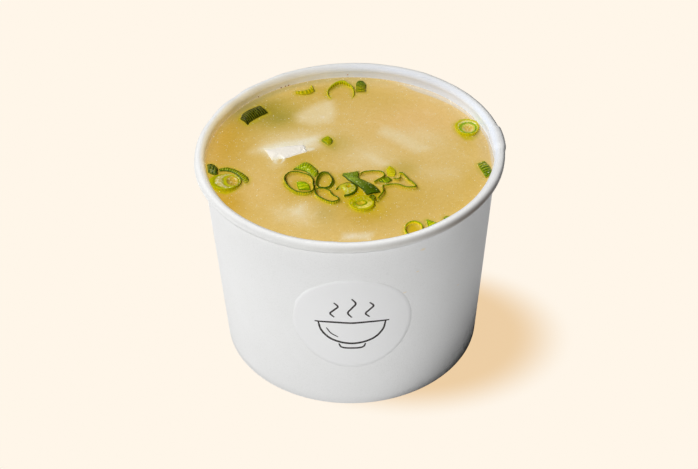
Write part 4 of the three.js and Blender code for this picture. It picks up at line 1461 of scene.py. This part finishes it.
# The parts of leaves that show through the soup, listed as the sunk tofu is.
SUNK_LEAVES = [
    ("leafy", 0.9, 0.5, 0.7,
     [(-43.6, -12.6), (-42.5, -15.3), (-40.5, -17.3), (-38, -18), (-35.5, -16.5), (-34.2, -13.7),
      (-38, -13)]),
    ("leafy", 0.9, 0.9, 0.8,
     [(34.6, 15), (35.8, 10.8), (37.2, 8.8), (39.6, 8.5), (41.6, 10.2), (42.4, 13.5), (38, 13)]),
    ("leafy", 0.95, 0.6, 0.6, [(0.4, -25), (1.8, -27.2), (4.2, -28), (6.6, -27.2), (7.6, -25), (4, -25)]),
    ("gold", 0.9, 0.3, 1.6,
     [(16.2, -36.5), (17, -40), (21, -40), (21.6, -36), (19.3, -32.8), (17, -33.8)]),
    ("leafy", 0.85, 0.7, 1.0,
     [(-6.6, 38.5), (-5.6, 40.8), (-2.4, 43), (0.8, 40.8), (1.8, 38.5), (-0.5, 40), (-4.2, 40)]),
    ("leafy", 0.75, 0.4, 0.3,
     [(-20.5, -12.6), (-18.7, -16.4), (-16.3, -18.6), (-13.6, -19.1), (-11.5, -17.7), (-13, -17.3),
      (-16.4, -16.9), (-19.2, -13.7)]),
    ("leafy", 0.75, 0.4, 0.3,
     [(-9.7, -20.1), (-7.1, -23), (-4.4, -23.4), (-3.1, -21.5), (-5.3, -22), (-8.1, -20.9)]),
    ("olive", 0.6, 1.4, 1.0, [(-8.6, 9.2), (-5.2, 10.4), (-4.4, 7.2), (-4.8, 4.6), (-7, 6.2)]),
    ("leafy", 0.85, 0.4, 0.4,
     [(10.2, -15.6), (11.2, -17.6), (10.5, -20.1), (8.8, -22.9), (7.8, -21.9), (9.6, -18.6)]),
    ("leafy", 0.6, 0.4, 0.3, [(16.8, -15.5), (19.8, -15.7), (20.4, -16.5), (18.4, -16.8), (16.6, -16.2)]),
    ("olive", 0.9, 0.6, 0.6,
     [(-33.5, 20.8), (-31, 21.1), (-28.8, 23.7), (-27.4, 24.9), (-26.6, 23.9), (-29.6, 20.4),
      (-32.4, 18.6)]),
    ("olive", 0.6, 0.8, 0.6, [(-32.6, -11.1), (-31.4, -10.7), (-31, -12.7), (-32, -13.5)]),
]

# The lower edges of rings and the ticks on a sunk stem: tone, strength, half width and points.
SUNK_LINES = [
    ("fern", 0.75, 0.26,
     [(-20.5, -12.4), (-20, -14.4), (-18.4, -16.6), (-17, -17.8), (-15.6, -18.7), (-14, -18.7),
      (-12.6, -18), (-11.6, -17)]),
    ("fern", 0.6, 0.22,
     [(-9.7, -19.8), (-8.3, -21.6), (-6.9, -22.8), (-5.4, -23.4), (-3.9, -22.8), (-3.2, -21.8)]),
    ("fern", 0.5, 0.24, [(11, -16.2), (10.8, -18.3), (9.8, -20.7), (8.5, -22.6), (7.5, -22.2)]),
    ("fern", 0.5, 0.2, [(16.8, -15.8), (18.5, -16.4), (20.2, -16.2)]),
    ("fern", 0.55, 0.26, [(-41.3, -14.6), (-41, -15.9)]),
    ("fern", 0.55, 0.26, [(-40, -15.2), (-39.8, -16.6)]),
    ("fern", 0.5, 0.26, [(-38.6, -15.4), (-38.5, -16.9)]),
    ("fern", 0.45, 0.26, [(-37.2, -15.2), (-37, -16.6)]),
]

# Tofu under the surface: its tone, how strongly it shows, how far its edge blurs outside and
# inside, and its outline, in mm.
SUNK_TOFU = [
    ("cream", 0.8, 2.2, 2.8,
     [(-17.5, 24), (-13, 29), (-7.6, 32.6), (-5.2, 32), (-4.4, 25.5), (-5.4, 19.5), (-12, 18),
      (-16.5, 20)]),
    ("cream", 0.5, 1.0, 2.0, [(-7.5, 31.5), (-5.2, 30.5), (-4.6, 25.5), (-5.4, 21), (-8.5, 22)]),
    ("cream", 0.7, 1.8, 2.4, [(11, 17.6), (13, 16.8), (26.4, 5.2), (26, 3.8), (21, 2), (9, 13)]),
    ("cream", 0.75, 1.6, 2.0, [(3.8, 3.4), (6.4, 2.6), (12.6, -2.8), (12.8, -5.4), (8, -3.6)]),
    ("curd", 0.62, 0.9, 3.4, [(-14, -22.2), (-13.2, -22.4), (-13.2, -30), (-16.5, -29.5), (-20, -26)]),
    ("cream", 0.5, 3.2, 3.6, [(-24, -25.5), (-14, -23.5), (-13.5, -33), (-22, -31)]),
    ("curd", 0.55, 1.0, 2.4, [(-2.5, -37.2), (7.4, -37), (6.2, -41.6), (-3.5, -41.4)]),
    ("cream", 0.3, 3.4, 4.0, [(22, -6), (33.5, -6.5), (34, -10.5), (24, -11)]),
    ("cream", 0.8, 3.0, 3.4, [(-31.5, 4), (-27, 9.5), (-15, 12.5), (-9, 12.5), (-9.5, 9), (-24, 2)]),
    ("curd", 0.85, 1.6, 2.0,
     [(-28.4, 6), (-22, 9.4), (-16, 10.4), (-11, 12), (-10, 10.4), (-13.2, 6.8), (-16, 4.8), (-20, 2.6),
      (-25, 1.4)]),
    ("curd", 0.85, 0.5, 0.6, [(-14.4, 4.1), (-13.4, 5.9), (-11.2, 5.9), (-11.2, 4.9), (-12.6, 4.1)]),
    ("cream", 0.6, 2.4, 2.6, [(-25.6, 1.5), (-21, 0.9), (-21.4, -3.3), (-24.5, -4.3)]),
    ("curd", 0.75, 0.4, 0.5,
     [(-24.2, 0.9), (-22.8, 1.1), (-22.2, -0.1), (-23.1, -1), (-22.9, -2.5), (-24.1, -1.7)]),
    ("curd", 0.85, 0.35, 0.4, [(-21.5, 1.2), (-20.3, 0.8), (-20.5, -0.7), (-21.7, -2.3), (-21.3, -0.5)]),
]


# The painted reflection of the wall, a pale band on the soup, by angle in degrees: its width in mm
# and strength.
SHORE_WIDTHS = [
    (-40, 0.7), (-12, 0.7), (-3, 1.2), (5, 1.2), (12, 0.9), (20, 1.0), (30, 1.2), (40, 1.7),
    (50, 2.4), (57, 2.8), (61, 2.6), (67, 1.2), (72, 1.2),
]
SHORE = [(-40, 0), (-20, 0.2), (0, 0.7), (12, 0.8), (40, 0.9), (60, 0.8), (67, 0.4), (72, 0)]

# Strength of the duller, wider band along the right and far wall.
DULL_BAND = [
    (-40, 0), (-20, 0.3), (0, 0.7), (60, 0.7), (80, 0.6), (100, 0.6), (125, 0.2), (150, 0),
    (180, 0.2), (180.01, 0),
]

# Strength of the painted shade, a soft dusky band along the far wall and on the left.
VERGE = [(0, 0), (60, 0), (80, 0.4), (100, 0.6), (130, 0.75), (160, 0.3), (190, 0.1), (215, 0)]


def broth_tones(x, y, leafy):
    """The soup's colour at points of its surface, with painted shade and a painted reflection of the
    wall. Leafy is how near a leaf each of them is.
    """
    degrees = np.degrees(np.arctan2(y, x))
    off_wall = inner_wall(SOUP_LEVEL) - np.hypot(x, y)
    tone = np.tile(np.array(pigment(*BROTH["broth"])[:3]), (len(x), 1))

    def paint(name, share):
        share = np.clip(share, 0, 1)[:, None]
        tone[:] = tone * (1 - share) + np.array(pigment(*BROTH[name])[:3]) * share

    for name, middle, reach, turn, strength in TONE_PATCHES:
        paint(name, strength * soft_patch(x, y, middle, reach, turn))
    for name, strength, outer_blur, inner_blur, outline in SUNK_TOFU + SUNK_LEAVES:
        paint(name, strength * smooth(outline_distance(x, y, outline), -outer_blur, inner_blur))
    for name, strength, half, points in SUNK_LINES:
        paint(name, strength * (1 - smooth(line_distance(x, y, points), 0.5 * half, 1.6 * half)))
    paint("leafy", LEAF_TINT * leafy)
    paint("dusk", round_cup(DULL_BAND, degrees) * (1 - smooth(off_wall, 1.5, 7)))
    paint("shade", round_cup(VERGE, degrees) * (1 - smooth(off_wall, 0.4, 3.6)))
    # The painted reflection of the wall, a pale band along it.
    bank = off_wall / round_cup(SHORE_WIDTHS, degrees)
    paint("wall", round_cup(SHORE, degrees) * (1 - smooth(bank, 0.8, 1.05)))
    paint("line", WET_LINE * (1 - smooth(off_wall, 0.15, 0.4)))
    # Painted shade beside the seam.
    return tone * (1 - SEAM_PAINTED_SHADE * soft_patch(degrees, off_wall, *SEAM_PATCH)[:, None])


def soup_body():
    """The soup: a round grid of points at its level, tinted and dented by what floats in it."""
    bm = bmesh.new()
    bmesh.ops.create_grid(bm, x_segments=SOUP_CELLS, y_segments=SOUP_CELLS, size=1)
    for v in bm.verts:
        a, b = v.co.x, v.co.y
        if abs(a) > abs(b):
            radius, angle = a, math.pi / 4 * b / a
        elif b:
            radius, angle = b, math.pi / 2 - math.pi / 4 * a / b
        else:
            radius, angle = 0, 0
        radius *= SOUP_RADIUS
        v.co = (radius * math.cos(angle), radius * math.sin(angle), SOUP_LEVEL)
    x, y = np.array([v.co[:2] for v in bm.verts]).T
    off_wall = inner_wall(SOUP_LEVEL) - np.hypot(x, y)

    tree = kdtree.KDTree(len(garnish_marks))
    for i, (mark_x, mark_y, _) in enumerate(garnish_marks):
        tree.insert((mark_x, mark_y, 0), i)
    tree.balance()
    nearest = [tree.find((*spot, 0)) for spot in zip(x, y)]
    far = np.array([found[2] for found in nearest])
    reach = np.array([garnish_marks[found[1]][2] for found in nearest])
    paint_points(bm, "tone", broth_tones(x, y, 1 - smooth(far, 0.1, reach)))
    rise = CLIMB[0] * np.exp(-np.clip(off_wall, 0, None) / CLIMB[1])
    rise -= DIP[0] * (1 - smooth(far, 0.1, DIP[1]))
    for v, more in zip(bm.verts, rise):
        v.co.z += float(more)

    rim = [e for e in bm.edges if len(e.link_faces) == 1]
    side = bmesh.ops.extrude_edge_only(bm, edges=rim)
    low = [v for v in side["geom"] if isinstance(v, bmesh.types.BMVert)]
    floor = RECESS + BOARD + GAP
    shrink = (inner_wall(floor) - SOUP_CLEAR) / SOUP_RADIUS
    bmesh.ops.scale(bm, vec=(shrink, shrink, 1), verts=low)
    for v in low:
        v.co.z = floor
    close_up(bm)
    finish_piece("miso_soup", bm, "miso_broth", ["soup"], crease=60)


# ---- Specks on the inside of the wall ----

# Each speck's angle in degrees, its height and its half size in mm.
WALL_SPECKS = [
    (170.8, 69.1, 0.34), (177, 67.9, 0.26), (130.9, 67.9, 0.24), (128.9, 67.4, 0.3), (119.5, 67.7, 0.32),
    (117.5, 67.8, 0.26), (116, 67.8, 0.3), (90.2, 68.2, 0.22), (56.3, 69.3, 0.24), (17.7, 70.1, 0.3),
    (31.5, 70.0, 0.26),
]
SPECK_INSET = 0.03  # how far off the wall a speck's middle is, in mm
SPECK_SHAPE = (0.09, 1, 0.75)  # its half thickness in mm, and its width and height by its size


def wall_specks():
    """Tiny dried bits on the inside of the wall, just above the soup."""
    whole = bmesh.new()
    for degrees, z, size in WALL_SPECKS:
        angle = math.radians(degrees)
        r = inner_wall(z) - SPECK_INSET
        x, y = r * math.cos(angle), r * math.sin(angle)
        thick, wide, tall = SPECK_SHAPE
        place = (
            Matrix.Translation((x, y, z + rim_lift(x, y, z)))
            @ Matrix.Rotation(angle, 4, "Z")
            @ Matrix.Diagonal((thick, size * wide, size * tall, 1))
        )
        bmesh.ops.create_icosphere(whole, subdivisions=2, radius=1, matrix=place)
    finish_piece("wall_specks", whole, "brown_specks")


# ---- Make the pieces ----

# How far in mm a leaf tints the soup round it.
TINT_WIDE = 2.0
TINT_NARROW = 1.6
NARROW_TINTS = ("ring_green", "strand_green", "ring_lime")

cup_wall()
cup_bottom()
label_piece()
bowl_print()
wall_specks()
for name, (shape, finish) in garnish.items():
    remember(shape, TINT_NARROW if finish in NARROW_TINTS else TINT_WIDE)
    finish_piece("leaf_" + name, shape, finish, ["scallion_" + name])
tofu_block()
soup_body()

# ---- Floor, light and camera ----

# The floor as the camera sees it, in light and in the painted shadow.
FLOOR_TONE = linear((255, 246, 233))
FLOOR_SHADE = linear((236, 204, 160))

# The light that the floor throws back, near the cup and farther out, with the reach of each in mm.
BOUNCE_NEAR = 0.58
BOUNCE_FAR = 1.22
NEAR_REACH = (78, 100)
FAR_REACH = (190, 155)

# The painted shadow beside the cup, in mm: its middle, half its size, and how soft its edge is.
SHADE_MIDDLE = (20.5, -9.6, 0)
SHADE_REACH = (43.8, 31.9, 0)
SHADE_SOFT = 0.256
SHADE_DEPTH = 0.95

FLOOR_HALF = 30  # half the floor's side, in metres

# The lamps' size, distance and aim, in metres.
LAMP_SIZE = 0.8
LAMP_DISTANCE = 1.6
LAMP_AIM = Vector((0, 0, 0.045))


def floor_piece():
    """A pale floor of even tone with a painted soft shadow. To all but the camera it is a glow round
    the cup, darker in the painted shadow, which stands in for the light it throws back at the cup."""
    nodes, sockets = material("floor", Roughness=1.0, Specular_IOR_Level=0.0, Emission_Strength=1.0)
    far = nodes.oval(SHADE_MIDDLE, SHADE_REACH)
    shaded = nodes.ramp(far, 1 + SHADE_SOFT, 1 - SHADE_SOFT, 0.0, SHADE_DEPTH)
    tone = nodes.blend((*FLOOR_TONE, 1), (*FLOOR_SHADE, 1), shaded)
    away = nodes.oval((0, 0, 0), (1, 1, 0))
    glow = nodes.ramp(away, *NEAR_REACH, BOUNCE_NEAR, BOUNCE_FAR)
    glow = nodes.times(glow, nodes.ramp(away, *FAR_REACH))
    glow = nodes.times(glow, nodes.ramp(shaded, SHADE_DEPTH, 0.0))
    seen = nodes.add("LightPath").outputs["Is Camera Ray"]
    nodes.link(nodes.blend(glow, tone, seen), sockets["Emission Color"])
    sockets["Base Color"].default_value = (0, 0, 0, 1)
    bm = bmesh.new()
    bmesh.ops.create_grid(bm, x_segments=1, y_segments=1, size=FLOOR_HALF)
    mesh = bpy.data.meshes.new("floor")
    bm.to_mesh(mesh)
    bm.free()
    mesh.materials.append(finishes["floor"])
    floor = bpy.data.objects.new("floor", mesh)
    scene.collection.objects.link(floor)
    floor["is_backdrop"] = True


def softbox(name, azimuth, elevation, power, receivers, blockers):
    """A square lamp turned to the cup's middle. Azimuth 0 is in front and -90 on the left."""
    data = bpy.data.lights.new(name, "AREA")
    data.size = LAMP_SIZE
    data.energy = power
    lamp = bpy.data.objects.new(name, data)
    scene.collection.objects.link(lamp)
    a, e = math.radians(azimuth), math.radians(elevation)
    back = Vector((math.sin(a) * math.cos(e), -math.cos(a) * math.cos(e), math.sin(e)))
    lamp.location = LAMP_AIM + back * LAMP_DISTANCE
    lamp.rotation_euler = back.to_track_quat("Z", "Y").to_euler()
    lamp.light_linking.receiver_collection = receivers
    lamp.light_linking.blocker_collection = blockers


floor_piece()
on_cup = bpy.data.collections.new("lit_cup")
in_soup = bpy.data.collections.new("casts_shade")
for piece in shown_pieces():
    on_cup.objects.link(piece)
    if piece.name.startswith(("leaf_", "tofu")):
        in_soup.objects.link(piece)

# Softboxes on the cup alone, whose thin wall lets their light through to the soup: azimuth,
# elevation and power in watts.
softbox("softbox_left_back", -120, 35, 11.8, on_cup, in_soup)
softbox("softbox_left_high", -95, 50, 5.0, on_cup, in_soup)
softbox("softbox_key", -25, 40, 19.6, on_cup, in_soup)

world = bpy.data.worlds.new("studio")
world.use_nodes = True
scene.world = world
sky = Nodes(world.node_tree)
backdrop = next(n for n in world.node_tree.nodes if n.type == "BACKGROUND")
seen = sky.add("LightPath").outputs["Is Camera Ray"]
sky.link(sky.blend((0, 0, 0, 1), (*FLOOR_TONE, 1), seen), backdrop.inputs["Color"])

# The camera: its sensor and lens in mm, how near and far it sees and where it stands in metres,
# and the directions that are right, up and ahead of it.
SENSOR_WIDTH = 36
LENS = 84.338
CLIP = (0.01, 100)
CAMERA_PLACE = (0, -0.417024, 0.375222)
CAMERA_RIGHT = Vector((0.999885, -0.008750, -0.012348))
CAMERA_UP = Vector((0.015101, 0.630752, 0.775837))
CAMERA_AHEAD = Vector((-0.001, 0.775935, -0.630812))

camera_data = bpy.data.cameras.new("camera")
camera_data.sensor_width = SENSOR_WIDTH
camera_data.lens = LENS
camera_data.clip_start, camera_data.clip_end = CLIP
camera = bpy.data.objects.new("camera", camera_data)
scene.collection.objects.link(camera)
axes = Matrix((CAMERA_RIGHT, CAMERA_UP, -CAMERA_AHEAD)).transposed().to_4x4()
camera.matrix_world = Matrix.Translation(CAMERA_PLACE) @ axes
scene.camera = camera
scene.view_settings.view_transform = "Standard"
scene.view_settings.look = "None"
